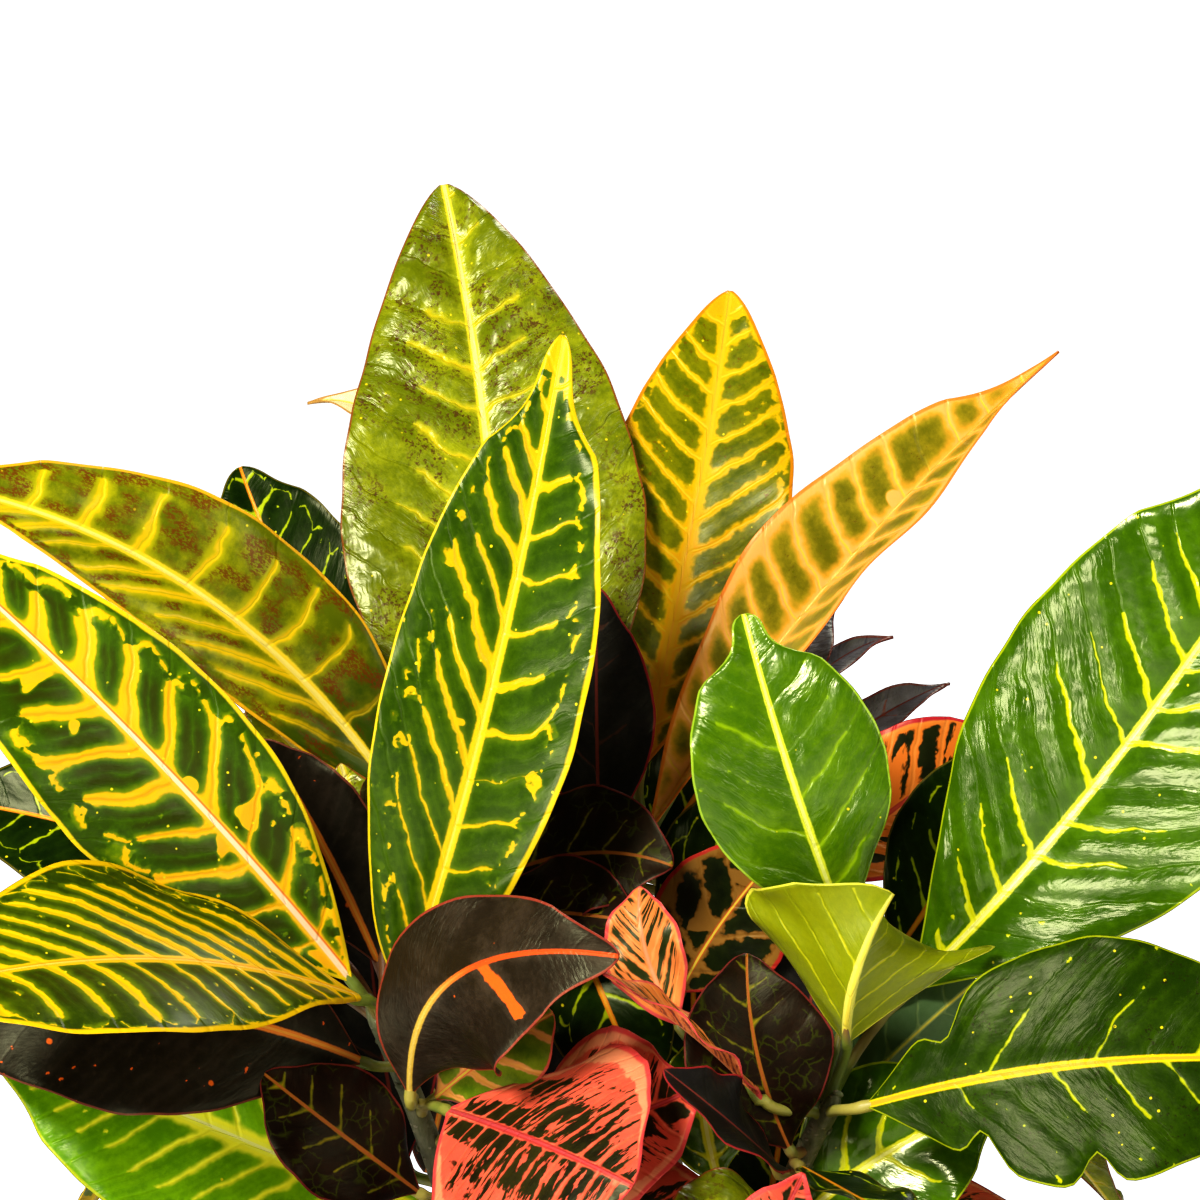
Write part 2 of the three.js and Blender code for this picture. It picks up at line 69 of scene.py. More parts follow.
def smoothStep(low, high, value):
    share = np.clip((value - low) / (high - low), 0, 1)
    return share * share * (3 - 2 * share)


def meshFrom(name, points, faces, material=None):
    mesh = bpy.data.meshes.new(name)
    mesh.from_pydata((np.asarray(points, float) * mm).tolist(), [], faces)
    mesh.polygons.foreach_set("use_smooth", [True] * len(mesh.polygons))
    if material:
        mesh.materials.append(material)
    mesh.update()
    return mesh


# the mesh that an object's modifiers make; the object itself is removed
def applied(obj):
    depsgraph = bpy.context.evaluated_depsgraph_get()
    mesh = bpy.data.meshes.new_from_object(obj.evaluated_get(depsgraph))
    bpy.data.objects.remove(obj)
    return mesh


def addPiece(name, mesh, node, slot):
    obj = bpy.data.objects.new(name, mesh)
    bpy.context.scene.collection.objects.link(obj)
    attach(obj, "root")
    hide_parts(node)
    return obj


# Camera, floor and light

studio = {"floorSize": 6.0, "floorTone": (0.8, 0.8, 0.8), "floorRough": 0.8, "air": 0.07, "whiteAir": 1.0,
          "exposure": 0.0, "contrast": "Medium High Contrast", "target": (0, 0, 0.36),
          "key": (32, (-0.67, -1.16, 1.41), 0.45), "side": (12, (-1.1, -1.42, 0.3), 0.55),
          "fill": (6, (1.3, -1.2, 0.9), 0.8), "back": (16, (0.7, 1.0, 1.6), 0.8)}


def aim(obj, spot, target):
    obj.location = spot
    obj.rotation_mode = "QUATERNION"
    obj.rotation_quaternion = (Vector(target) - Vector(spot)).to_track_quat("-Z", "Y")


def softbox(name, watts, spot, size):
    lamp = bpy.data.lights.new(name, "AREA")
    lamp.shape = "DISK"
    lamp.energy = watts
    lamp.size = size
    obj = bpy.data.objects.new(name, lamp)
    bpy.context.scene.collection.objects.link(obj)
    aim(obj, spot, studio["target"])


def makeStage():
    scene = bpy.context.scene
    camera = bpy.data.cameras.new("camera")
    camera.sensor_width = view["sensor"]
    camera.lens = view["sensor"] * view["distance"] / view["frameWidth"]
    camera.clip_start = 0.05
    cameraObject = bpy.data.objects.new("camera", camera)
    scene.collection.objects.link(cameraObject)
    scene.camera = cameraObject
    aim(cameraObject, (viewCentre + nearWay * view["distance"]) * mm, viewCentre * mm)

    for name in ("key", "side", "fill", "back"):
        softbox(name, *studio[name])
    air = bpy.data.worlds.new("air")
    air.use_nodes = True
    air.cycles_visibility.glossy = False
    tree = air.node_tree
    seen = tree.nodes.new("ShaderNodeLightPath").outputs["Is Camera Ray"]
    power = tree.nodes.new("ShaderNodeMapRange")
    tree.links.new(seen, power.inputs["Value"])
    power.inputs["To Min"].default_value = studio["air"]
    power.inputs["To Max"].default_value = studio["whiteAir"]
    tree.nodes["Background"].inputs["Color"].default_value = (1, 1, 1, 1)
    tree.links.new(power.outputs["Result"], tree.nodes["Background"].inputs["Strength"])
    scene.world = air
    scene.view_settings.view_transform = "Standard"
    scene.view_settings.look = studio["contrast"]
    scene.view_settings.exposure = studio["exposure"]

    half = studio["floorSize"] / 2 / mm
    corners = [(-half, -half, 0), (half, -half, 0), (half, half, 0), (-half, half, 0)]
    tone = bpy.data.materials.new("floorPaint")
    tone.use_nodes = True
    paint = tone.node_tree.nodes["Principled BSDF"]
    paint.inputs["Base Color"].default_value = (*studio["floorTone"], 1)
    paint.inputs["Roughness"].default_value = studio["floorRough"]
    floor = bpy.data.objects.new("floor", meshFrom("floor", corners, [(0, 1, 2, 3)], tone))
    scene.collection.objects.link(floor)
    floor.is_shadow_catcher = True


makeStage()
print("stage made")

# A Wire is a value in a material's tree, so that a pattern can be written as a formula

class Wire:
    def __init__(self, tree, socket):
        self.tree = tree
        self.socket = socket

    def math(self, operation, *others):
        return mathNode(self.tree, operation, self, *others)

    def __add__(self, other):
        return self.math("ADD", other)

    def __radd__(self, other):
        return self.math("ADD", other)

    def __sub__(self, other):
        return self.math("SUBTRACT", other)

    def __rsub__(self, other):
        return mathNode(self.tree, "SUBTRACT", other, self)

    def __mul__(self, other):
        return self.math("MULTIPLY", other)

    def __rmul__(self, other):
        return self.math("MULTIPLY", other)

    def __truediv__(self, other):
        return self.math("DIVIDE", other)

    def flipped(self):
        return 1 - self

    def size(self):
        return self.math("ABSOLUTE")

    def least(self, other):
        return self.math("MINIMUM", other)


def feed(tree, value, socket):
    if isinstance(value, Wire):
        tree.links.new(value.socket, socket)
    elif isinstance(value, tuple) and len(value) == 3 and socket.type == "RGBA":
        socket.default_value = (*value, 1)
    else:
        socket.default_value = value


def mathNode(tree, operation, *values):
    node = tree.nodes.new("ShaderNodeMath")
    node.operation = operation
    for socket, value in zip(node.inputs, values):
        feed(tree, value, socket)
    return Wire(tree, node.outputs[0])


def join(value, other, roundness):
    return mathNode(value.tree, "SMOOTH_MIN", value, other, roundness)


def rise(value, low, high):
    node = value.tree.nodes.new("ShaderNodeMapRange")
    node.interpolation_type = "SMOOTHSTEP"
    feed(value.tree, value, node.inputs["Value"])
    feed(value.tree, low, node.inputs["From Min"])
    feed(value.tree, high, node.inputs["From Max"])
    return Wire(value.tree, node.outputs["Result"])


def fall(value, low, high):
    return rise(value, low, high).flipped()


def blend(share, colour, other):
    tree = share.tree
    node = tree.nodes.new("ShaderNodeMix")
    node.data_type = "RGBA"
    feed(tree, share, node.inputs["Factor"])  # its colour sockets have numbers, as others share their names
    feed(tree, colour, node.inputs[6])
    feed(tree, other, node.inputs[7])
    return Wire(tree, node.outputs[2])


def read(tree, name):
    node = tree.nodes.new("ShaderNodeAttribute")
    node.attribute_name = name
    return Wire(tree, node.outputs["Vector"])


def objectPlace(tree):
    return Wire(tree, tree.nodes.new("ShaderNodeTexCoord").outputs["Object"])


def split(wire):
    node = wire.tree.nodes.new("ShaderNodeSeparateXYZ")
    feed(wire.tree, wire, node.inputs[0])
    return [Wire(wire.tree, out) for out in node.outputs]


def joined(tree, x, y, z=0.0):
    node = tree.nodes.new("ShaderNodeCombineXYZ")
    for value, socket in zip((x, y, z), node.inputs):
        feed(tree, value, socket)
    return Wire(tree, node.outputs[0])


# grain is the size of the noise's features, in the units of the place that it reads
def noise(place, grain, detail=2.0, rough=0.5):
    node = place.tree.nodes.new("ShaderNodeTexNoise")
    feed(place.tree, place, node.inputs["Vector"])
    node.inputs["Scale"].default_value = 1 / grain
    node.inputs["Detail"].default_value = detail
    node.inputs["Roughness"].default_value = rough
    return Wire(place.tree, node.outputs["Fac"])


def cells(place, grain, feature="F1", output="Distance"):
    node = place.tree.nodes.new("ShaderNodeTexVoronoi")
    node.feature = feature
    feed(place.tree, place, node.inputs["Vector"])
    node.inputs["Scale"].default_value = 1 / grain
    return Wire(place.tree, node.outputs[output])


def chance(tree, x, y):
    node = tree.nodes.new("ShaderNodeTexWhiteNoise")
    node.noise_dimensions = "2D"
    feed(tree, joined(tree, x, y), node.inputs["Vector"])
    return Wire(tree, node.outputs["Value"])


def newFinish(name):
    material = bpy.data.materials.new(name)
    material.use_nodes = True
    return material, material.node_tree, material.node_tree.nodes["Principled BSDF"]


def bumped(tree, shader, height, depth, strength=1.0):
    node = tree.nodes.new("ShaderNodeBump")
    node.inputs["Strength"].default_value = strength
    node.inputs["Distance"].default_value = depth * mm
    feed(tree, height, node.inputs["Height"])
    tree.links.new(node.outputs["Normal"], shader.inputs["Normal"])

# Leaf finishes. Widths are millimetres. A place across the blade runs from 0 at the midrib to 1 at
# the margin, and along it from 0 at the base to 1 at the tip.

plainLook = {
    # between the pale bands, and the bands, which deepen inwards
    "ground": (0.03, 0.075, 0.0005), "groundLight": (0.06, 0.13, 0.001),
    "vein": (0.76, 0.52, 0.003), "deep": (0.8, 0.4, 0.003), "deepShare": 0.3,
    # a lateral's band is veinWidth wide, plus veinShare of the gap to the next one; it narrows
    # outwards, ends at veinEnd, is thinner near the blade's base by veinThin, and is missing with
    # the chance veinMiss; onlyVein keeps a single one, and core is a line along it
    "veinWidth": 1.4, "veinShare": 0.0, "veinTaper": 0.5, "veinEnd": 0.8, "veinThin": 0.0,
    "veinMiss": 0.0, "onlyVein": 0, "core": (0.75, 0.26, 0.005), "coreWidth": 0.0, "coreShare": 0.8,
    # bands along the midrib, from groundTo to the margin, and at the tip; round curves the corners
    "flood": 0.8, "groundTo": 2.0, "floodTip": 0.0, "round": 3.0,
    # arches between laterals, ticks halfway between them, patches, and dark streaks beside them
    "arch": 0.0, "archWidth": 0.7, "archDepth": 0.14, "archBreak": 0.5, "ticks": 0.0, "patch": 0.0,
    "streaks": 0.0, "streakWidth": 2.0, "streakLength": 11.0, "streakOut": 0.0,
    # how uneven the bands are, and how blurred their edges
    "stagger": 0.2, "drift": 0.5, "rag": 0.9, "soft": 0.3,
    # midrib, whose paler ridge is partly its own colour and partly a painted highlight on the raised rib,
    # and margin
    "rib": (0.78, 0.56, 0.006), "ridge": (0.82, 0.64, 0.06), "ribWidth": 2.6, "ridgeWidth": 1.0,
    "ribEdge": (0.75, 0.16, 0.004), "ribEdgeShare": 0.0, "ribTip": (0.8, 0.3, 0.02), "ribTipShare": 0.0,
    "margin": (0.72, 0.5, 0.006), "marginWidth": 0.8, "marginBias": 0.0,
    # marks over both
    "mesh": 0.0, "meshGrain": 6.0, "meshColour": (0.25, 0.28, 0.002),
    "spots": 0.0, "spotGap": 4.2, "spotColour": (0.75, 0.62, 0.01),
    "freckles": 0.0, "freckleColour": (0.1, 0.018, 0.003), "freckleStretch": 1.0, "freckleFrom": 0.0,
    # tints: a halo round the bands, brown middles between them, and painted shade darkening the blade's base
    "halo": 0.0, "haloColour": (0.26, 0.34, 0.002), "brown": 0.0, "brownColour": (0.028, 0.018, 0.001),
    "base": (0.02, 0.05, 0.001), "baseShadeShare": 0.0,
    # the lower face, and the surface of both
    "under": (0.26, 0.32, 0.02), "underShare": 0.55, "gloss": 0.3, "shine": 0.3,
    "shineColour": (1, 0.98, 0.55), "glow": 0.0, "glowColour": (1.0, 0.8, 0.2), "glowReach": 1.5,
    "crinkle": 0.12, "crinkleWidth": 2.4, "grain": 0.03, "groove": 0.14,
}

leafLooks = {
    "greenGold": {
        "ground": (0.022, 0.056, 0.0004), "groundLight": (0.054, 0.112, 0.0008), "veinWidth": 2.4,
        "vein": (0.7, 0.43, 0.003), "rib": (0.72, 0.47, 0.006), "ridge": (0.78, 0.55, 0.05),
        "veinTaper": 0.4, "veinEnd": 0.68, "veinMiss": 0.05, "veinThin": 0.55, "flood": 1.8, "arch": 0.64,
        "archWidth": 1.6, "archBreak": 0.46, "ticks": 0.15, "patch": 0.5, "spots": 0.5, "ribWidth": 5.4,
        "marginWidth": 1.1, "marginBias": 0.5, "floodTip": 1.0, "drift": 0.7, "soft": 0.35, "halo": 0.2,
        "rag": 0.7,
    },
    "striped": {
        "ground": (0.022, 0.042, 0.0004), "groundLight": (0.056, 0.09, 0.0006), "veinWidth": 2.5,
        "veinTaper": 0.3, "veinEnd": 0.84, "veinMiss": 0.03, "flood": 1.4, "spots": 0.35, "ticks": 0.3,
        "arch": 0.8, "archWidth": 0.6, "round": 2.2, "vein": (0.78, 0.47, 0.002), "deepShare": 0.5,
        "rib": (0.84, 0.45, 0.005), "ribWidth": 4.6, "marginWidth": 1.9, "ribEdgeShare": 0.5,
        "gloss": 0.34, "ridge": (0.86, 0.55, 0.08), "margin": (0.78, 0.46, 0.003), "floodTip": 1.0,
        "halo": 0.35, "brown": 0.4, "shine": 0.22,
    },
    "bold": {
        "ground": (0.026, 0.056, 0.0004), "groundLight": (0.05, 0.115, 0.0005), "veinWidth": 4.4,
        "veinTaper": 0.3, "veinEnd": 0.74, "veinThin": 0.66, "flood": 2.0, "arch": 0.68, "patch": 0.8,
        "archWidth": 2.0, "archDepth": 0.16, "ticks": 0.2, "spots": 0.6, "round": 6.0, "coreWidth": 0.6,
        "coreShare": 0.65, "vein": (0.8, 0.43, 0.002), "deep": (0.86, 0.35, 0.012), "deepShare": 0.5,
        "rib": (0.84, 0.44, 0.02), "ridge": (0.92, 0.66, 0.42), "ribWidth": 4.6, "ridgeWidth": 2.0,
        "ribEdgeShare": 0.9, "ribEdge": (0.75, 0.14, 0.02), "marginWidth": 1.2, "stagger": 0.3,
        "drift": 0.45, "rag": 0.6, "halo": 0.45, "brown": 0.5, "soft": 0.45, "shine": 0.22,
    },
    "olive": {
        "ground": (0.13, 0.16, 0.001), "groundLight": (0.35, 0.37, 0.006), "vein": (0.64, 0.53, 0.01),
        "veinWidth": 1.7, "veinTaper": 0.6, "veinEnd": 0.62, "veinMiss": 0.2, "flood": 1.0, "soft": 1.1,
        "rib": (0.76, 0.59, 0.02), "ridge": (0.86, 0.7, 0.2), "ribWidth": 5.4, "ridgeWidth": 2.6,
        "margin": (0.26, 0.08, 0.01), "marginWidth": 0.5, "freckles": 1.4, "spots": 0.4, "patch": 0.3,
        "freckleColour": (0.075, 0.014, 0.006), "spotColour": (0.75, 0.6, 0.01), "shine": 0.5,
        "crinkle": 0.9, "crinkleWidth": 4.0, "drift": 0.8, "groove": 0.3,
    },
    # rusty: its darker base is painted shade, not a colour of the leaf
    "rusty": {
        "ground": (0.11, 0.135, 0.0005), "groundLight": (0.35, 0.34, 0.002), "vein": (0.82, 0.52, 0.004),
        "veinWidth": 2.3, "veinTaper": 0.6, "veinEnd": 0.84, "flood": 1.4, "soft": 0.5, "deepShare": 0.1,
        "core": (0.2, 0.26, 0.005), "coreWidth": 0.3, "coreShare": 0.4, "rib": (0.88, 0.6, 0.02),
        "ribWidth": 5.4, "ridge": (0.92, 0.74, 0.16), "ridgeWidth": 2.4, "margin": (0.8, 0.4, 0.01),
        "marginWidth": 0.9, "freckles": 2.3, "freckleColour": (0.15, 0.024, 0.002), "freckleStretch": 2.0,
        "freckleFrom": 0.8, "spots": 0.2, "shine": 0.35, "crinkle": 0.1, "stagger": 0.1, "halo": 0.5,
        "haloColour": (0.56, 0.46, 0.003), "baseShadeShare": 0.9, "rag": 0.6,
    },
    "gold": {
        "ground": (0.08, 0.105, 0.0005), "groundLight": (0.23, 0.22, 0.001), "vein": (0.85, 0.49, 0.002),
        "deep": (0.88, 0.4, 0.006), "deepShare": 0.8, "core": (0.9, 0.58, 0.02), "coreWidth": 0.5,
        "veinWidth": 1.6, "veinShare": 0.1, "veinTaper": 0.2, "veinEnd": 1.4, "soft": 0.7, "flood": 3.4,
        "rag": 2.0, "rib": (0.86, 0.47, 0.012), "ridge": (0.88, 0.42, 0.02), "ribWidth": 4.6,
        "round": 3.5, "arch": 0.86, "archWidth": 1.2, "archDepth": 0.05, "margin": (0.72, 0.24, 0.005),
        "marginWidth": 1.1, "freckles": 0.5, "freckleFrom": 0.8, "spots": 0.9, "patch": 0.4,
        "freckleColour": (0.16, 0.04, 0.002), "under": (0.8, 0.5, 0.04), "glow": 0.12, "ticks": 0.6,
        "shine": 0.22, "drift": 0.6, "floodTip": 1.0,
    },
    "amber": {
        "ground": (0.13, 0.12, 0.002), "groundLight": (0.34, 0.26, 0.008), "vein": (0.88, 0.4, 0.03),
        "deep": (0.92, 0.42, 0.1), "deepShare": 0.8, "core": (0.88, 0.54, 0.03), "coreWidth": 0.5,
        "veinWidth": 2.0, "veinShare": 0.12, "veinTaper": 0.0, "veinEnd": 1.4, "flood": 3.0, "soft": 1.5,
        "groundTo": 0.84, "round": 5.0, "rag": 1.5, "drift": 0.6, "rib": (0.9, 0.4, 0.03),
        "veinMiss": 0.12, "ridge": (0.92, 0.5, 0.1), "ribWidth": 2.4, "margin": (0.85, 0.22, 0.02),
        "marginWidth": 1.1, "freckles": 0.4, "freckleFrom": 2.2, "freckleStretch": 1.6,
        "under": (0.9, 0.54, 0.1), "glow": 0.12, "patch": 0.3, "floodTip": 1.0,
    },
    "pale": {
        "ground": (0.8, 0.66, 0.3), "groundLight": (0.88, 0.78, 0.5), "vein": (0.85, 0.68, 0.3),
        "rib": (0.8, 0.6, 0.1), "margin": (0.5, 0.25, 0.05), "under": (0.85, 0.7, 0.4),
    },
    "fresh": {
        "ground": (0.034, 0.092, 0.0004), "groundLight": (0.072, 0.165, 0.0008),
        "vein": (0.6, 0.6, 0.004), "veinWidth": 1.7, "veinTaper": 0.8, "veinEnd": 0.66, "veinMiss": 0.2,
        "flood": 1.0, "deepShare": 0.0, "rib": (0.72, 0.68, 0.02), "ridge": (0.85, 0.8, 0.2),
        "ribWidth": 4.4, "ridgeWidth": 1.6, "margin": (0.35, 0.42, 0.005), "marginWidth": 0.5,
        "spots": 0.3, "gloss": 0.17, "shine": 0.55, "ticks": 0.2, "crinkle": 0.28, "crinkleWidth": 3.2,
    },
    "soft": {
        "ground": (0.05, 0.125, 0.0004), "groundLight": (0.11, 0.21, 0.0015), "vein": (0.24, 0.38, 0.002),
        "veinWidth": 1.1, "veinTaper": 0.6, "veinMiss": 0.45, "flood": 0.6, "soft": 0.6,
        "rib": (0.7, 0.72, 0.03), "ridge": (0.85, 0.85, 0.2), "ribWidth": 3.4, "ridgeWidth": 1.4,
        "margin": (0.3, 0.45, 0.02), "marginWidth": 0.5, "spots": 0.2, "gloss": 0.24, "shine": 0.6,
        "crinkle": 0.55, "crinkleWidth": 3.0, "ticks": 0.15, "deepShare": 0.0,
    },
    # partly the leaf's own bright lime and partly painted light: its greens and yellows are brightened to
    # make up for the shade it lies in
    "lime": {
        "ground": (0.1, 0.27, 0.0003), "groundLight": (0.22, 0.46, 0.0008), "vein": (0.98, 0.92, 0.03),
        "veinWidth": 1.8, "veinTaper": 0.75, "veinEnd": 0.7, "veinMiss": 0.2, "flood": 4.0, "soft": 0.9,
        "rib": (0.98, 0.94, 0.06), "ridge": (0.98, 0.95, 0.3), "ribWidth": 4.4, "ridgeWidth": 1.4,
        "margin": (0.45, 0.5, 0.005), "spots": 0.2, "ticks": 0.4, "glow": 0.12, "deepShare": 0.0,
        "crinkle": 0.16,
    },
    "notched": {
        "ground": (0.012, 0.032, 0.0003), "groundLight": (0.032, 0.07, 0.0005),
        "vein": (0.45, 0.48, 0.004), "veinWidth": 0.9, "veinEnd": 0.6, "veinMiss": 0.62, "veinThin": 0.3,
        "flood": 0.9, "rib": (0.82, 0.56, 0.004), "ridge": (0.82, 0.3, 0.02), "ribWidth": 3.6,
        "ticks": 0.3, "margin": (0.3, 0.34, 0.005), "marginWidth": 0.4, "spots": 0.45, "shine": 0.09,
        "freckles": 0.6, "freckleColour": (0.014, 0.012, 0.003), "crinkle": 0.3, "crinkleWidth": 3.4,
        "groove": 0.05, "ridgeWidth": 1.5,
    },
    "red": {
        "ground": (0.008, 0.006, 0.002), "groundLight": (0.026, 0.022, 0.003), "vein": (0.78, 0.1, 0.05),
        "deep": (0.9, 0.33, 0.14), "deepShare": 0.8, "veinWidth": 1.2, "veinTaper": 0.2, "veinEnd": 1.4,
        "flood": 1.6, "core": (0.78, 0.1, 0.04), "coreWidth": 0.5, "groundTo": 0.8, "rag": 1.0,
        "streaks": 0.465, "streakWidth": 3.0, "streakLength": 8.0, "streakOut": 0.3,
        "rib": (0.5, 0.035, 0.03), "ridge": (0.6, 0.07, 0.07), "margin": (0.78, 0.07, 0.06),
        "marginWidth": 2.0, "gloss": 0.38, "under": (0.45, 0.08, 0.04), "round": 1.5, "crinkle": 0.2,
        "glow": 0.1,
    },
    "ember": {
        "ground": (0.006, 0.008, 0.002), "groundLight": (0.014, 0.018, 0.003), "vein": (0.85, 0.2, 0.02),
        "deep": (0.88, 0.28, 0.04), "deepShare": 0.6, "veinWidth": 1.8, "veinShare": 0.12,
        "veinTaper": 0.2, "veinEnd": 1.4, "flood": 2.2, "groundTo": 0.84, "rag": 1.6, "streaks": 0.5,
        "streakWidth": 3.4, "streakLength": 9.0, "rib": (0.55, 0.04, 0.02), "ridge": (0.6, 0.06, 0.03),
        "ribWidth": 2.2, "margin": (0.55, 0.02, 0.03), "marginWidth": 1.4, "gloss": 0.36,
        "under": (0.45, 0.1, 0.04), "round": 2.0,
    },
    "peach": {
        "ground": (0.01, 0.014, 0.003), "groundLight": (0.03, 0.04, 0.005), "vein": (0.86, 0.24, 0.05),
        "deep": (0.9, 0.34, 0.09), "deepShare": 0.8, "veinWidth": 1.0, "veinShare": 0.1, "veinTaper": 0.0,
        "veinEnd": 1.4, "rag": 1.2, "flood": 1.2, "groundTo": 0.84, "streaks": 0.485, "streakWidth": 1.3,
        "rib": (0.8, 0.24, 0.1), "ridge": (0.85, 0.3, 0.12), "ribWidth": 1.6,
        "margin": (0.75, 0.08, 0.07), "marginWidth": 1.0, "under": (0.5, 0.07, 0.06), "gloss": 0.36,
        "round": 1.2,
    },
    "purple": {
        "ground": (0.008, 0.0055, 0.003), "groundLight": (0.022, 0.015, 0.009),
        "vein": (0.72, 0.1, 0.005), "veinWidth": 1.9, "veinTaper": -0.4, "veinEnd": 0.62,
        "veinMiss": 0.86, "flood": 0.2, "deepShare": 0.0, "rib": (0.75, 0.2, 0.02),
        "ridge": (0.8, 0.36, 0.04), "ribWidth": 3.4, "margin": (0.16, 0.04, 0.02), "marginWidth": 0.5,
        "spots": 0.36, "spotGap": 9.0, "spotColour": (0.75, 0.12, 0.006), "under": (0.04, 0.022, 0.016),
        "gloss": 0.36, "shine": 0.14, "crinkle": 0.16, "ticks": 0.5, "groove": 0.03,
    },
    "ashen": {
        "ground": (0.014, 0.008, 0.004), "groundLight": (0.05, 0.032, 0.018), "vein": (0.78, 0.12, 0.01),
        "veinWidth": 2.6, "veinTaper": -1.6, "veinEnd": 0.74, "onlyVein": 10, "flood": 0.0,
        "deepShare": 0.0, "rib": (0.66, 0.42, 0.05), "ridge": (0.7, 0.5, 0.1),
        "ribTip": (0.72, 0.08, 0.01), "ribTipShare": 1.0, "ribWidth": 2.5, "ridgeWidth": 0.8,
        "margin": (0.3, 0.04, 0.02), "marginWidth": 0.7, "spots": 0.06, "spotColour": (0.7, 0.1, 0.005),
        "under": (0.04, 0.022, 0.016), "gloss": 0.36, "shine": 0.34, "crinkle": 0.3, "crinkleWidth": 1.6,
        "groove": 0.03, "grain": 0.08,
    },
    "deep": {
        "ground": (0.004, 0.013, 0.0006), "groundLight": (0.012, 0.03, 0.001), "vein": (0.4, 0.48, 0.004),
        "veinWidth": 0.9, "veinEnd": 0.64, "veinMiss": 0.2, "flood": 0.4, "arch": 0.64, "archWidth": 0.4,
        "rib": (0.8, 0.24, 0.01), "ridge": (0.85, 0.4, 0.02), "ribWidth": 2.4,
        "margin": (0.1, 0.08, 0.005), "marginWidth": 0.5, "spots": 0.3, "under": (0.04, 0.07, 0.02),
        "ticks": 0.3, "crinkle": 0.3, "crinkleWidth": 4.0, "shine": 0.16, "deepShare": 0.0,
        "groove": 0.05,
    },
    "maroon": {
        "ground": (0.008, 0.003, 0.0015), "groundLight": (0.02, 0.007, 0.003),
        "vein": (0.14, 0.13, 0.004), "veinWidth": 0.6, "veinEnd": 0.7, "veinMiss": 0.2, "flood": 0.2,
        "rib": (0.34, 0.12, 0.01), "ridge": (0.4, 0.1, 0.02), "ribWidth": 1.6,
        "margin": (0.16, 0.02, 0.015), "marginWidth": 0.5, "under": (0.08, 0.02, 0.015), "gloss": 0.42,
        "mesh": 0.6, "meshGrain": 4.2, "meshColour": (0.036, 0.044, 0.001), "crinkle": 0.18,
        "shine": 0.15, "groove": 0.03,
    },
    "tan": {
        "ground": (0.005, 0.008, 0.002), "groundLight": (0.014, 0.02, 0.003), "vein": (0.2, 0.08, 0.01),
        "deep": (0.32, 0.15, 0.025), "deepShare": 0.8, "veinWidth": 1.0, "veinShare": 0.1, "veinEnd": 1.4,
        "flood": 2.0, "groundTo": 0.82, "rag": 3.4, "round": 5.0, "rib": (0.6, 0.1, 0.02),
        "ribWidth": 1.8, "patch": 0.9, "veinMiss": 0.35, "margin": (0.5, 0.03, 0.02), "marginWidth": 1.2,
        "under": (0.4, 0.2, 0.08), "shine": 0.15,
    },
    "dusk": {
        "ground": (0.012, 0.01, 0.009), "groundLight": (0.026, 0.022, 0.02), "vein": (0.08, 0.03, 0.02),
        "veinWidth": 0.6, "veinEnd": 0.6, "veinMiss": 0.6, "flood": 0.0, "rib": (0.2, 0.03, 0.02),
        "ridge": (0.22, 0.04, 0.03), "ribWidth": 1.3, "margin": (0.3, 0.02, 0.02), "marginWidth": 0.6,
        "under": (0.03, 0.026, 0.026), "gloss": 0.42, "shine": 0.15, "crinkle": 0.2, "deepShare": 0.0,
        "groove": 0.05,
    },
    # painted sheen: these greys are lightened to stand in for the sheen and light seen on dark leaves that
    # face away from the lamps
    "silver": {
        "ground": (0.08, 0.075, 0.08), "groundLight": (0.2, 0.19, 0.21), "vein": (0.25, 0.08, 0.06),
        "veinWidth": 0.6, "veinEnd": 0.6, "veinMiss": 0.6, "flood": 0.0, "rib": (0.26, 0.04, 0.03),
        "ridge": (0.3, 0.06, 0.04), "ribWidth": 1.3, "margin": (0.2, 0.03, 0.02), "marginWidth": 0.5,
        "under": (0.3, 0.28, 0.31), "gloss": 0.4, "shine": 0.5, "crinkle": 0.5, "crinkleWidth": 1.2,
        "deepShare": 0.0,
    },
    "under": {
        "ground": (0.03, 0.1, 0.001), "groundLight": (0.05, 0.16, 0.002), "vein": (0.6, 0.58, 0.01),
        "veinWidth": 0.9, "rib": (0.8, 0.72, 0.1), "ribWidth": 3.4, "margin": (0.75, 0.68, 0.05),
        "marginWidth": 0.9, "under": (0.3, 0.31, 0.001), "underShare": 0.9, "glow": 0.2, "crinkle": 0.3,
        "shine": 0.4, "crinkleWidth": 4.0,
    },
    "paleUnder": {
        "ground": (0.03, 0.08, 0.01), "groundLight": (0.05, 0.12, 0.02), "vein": (0.2, 0.28, 0.08),
        "veinWidth": 0.6, "rib": (0.3, 0.36, 0.1), "ribWidth": 2.0, "margin": (0.12, 0.2, 0.05),
        "under": (0.1, 0.17, 0.06), "underShare": 0.85, "gloss": 0.4, "glow": 0.1, "deepShare": 0.0,
    },
    "cream": {
        "ground": (0.07, 0.12, 0.003), "groundLight": (0.2, 0.24, 0.01), "vein": (0.75, 0.3, 0.08),
        "veinWidth": 1.2, "veinShare": 0.15, "veinEnd": 1.4, "rib": (0.75, 0.12, 0.05), "ribWidth": 2.0,
        "margin": (0.7, 0.1, 0.06), "glow": 0.15,
    },
}


# noise over a blade: the size of its features, its octaves and how rough it is
bladeNoise = {"broad": (15, 2, 0.5), "patchy": (5.5, 3, 0.6), "ragged": (2.0, 4, 0.7),
              "uneven": (2.6, 2, 0.4)}


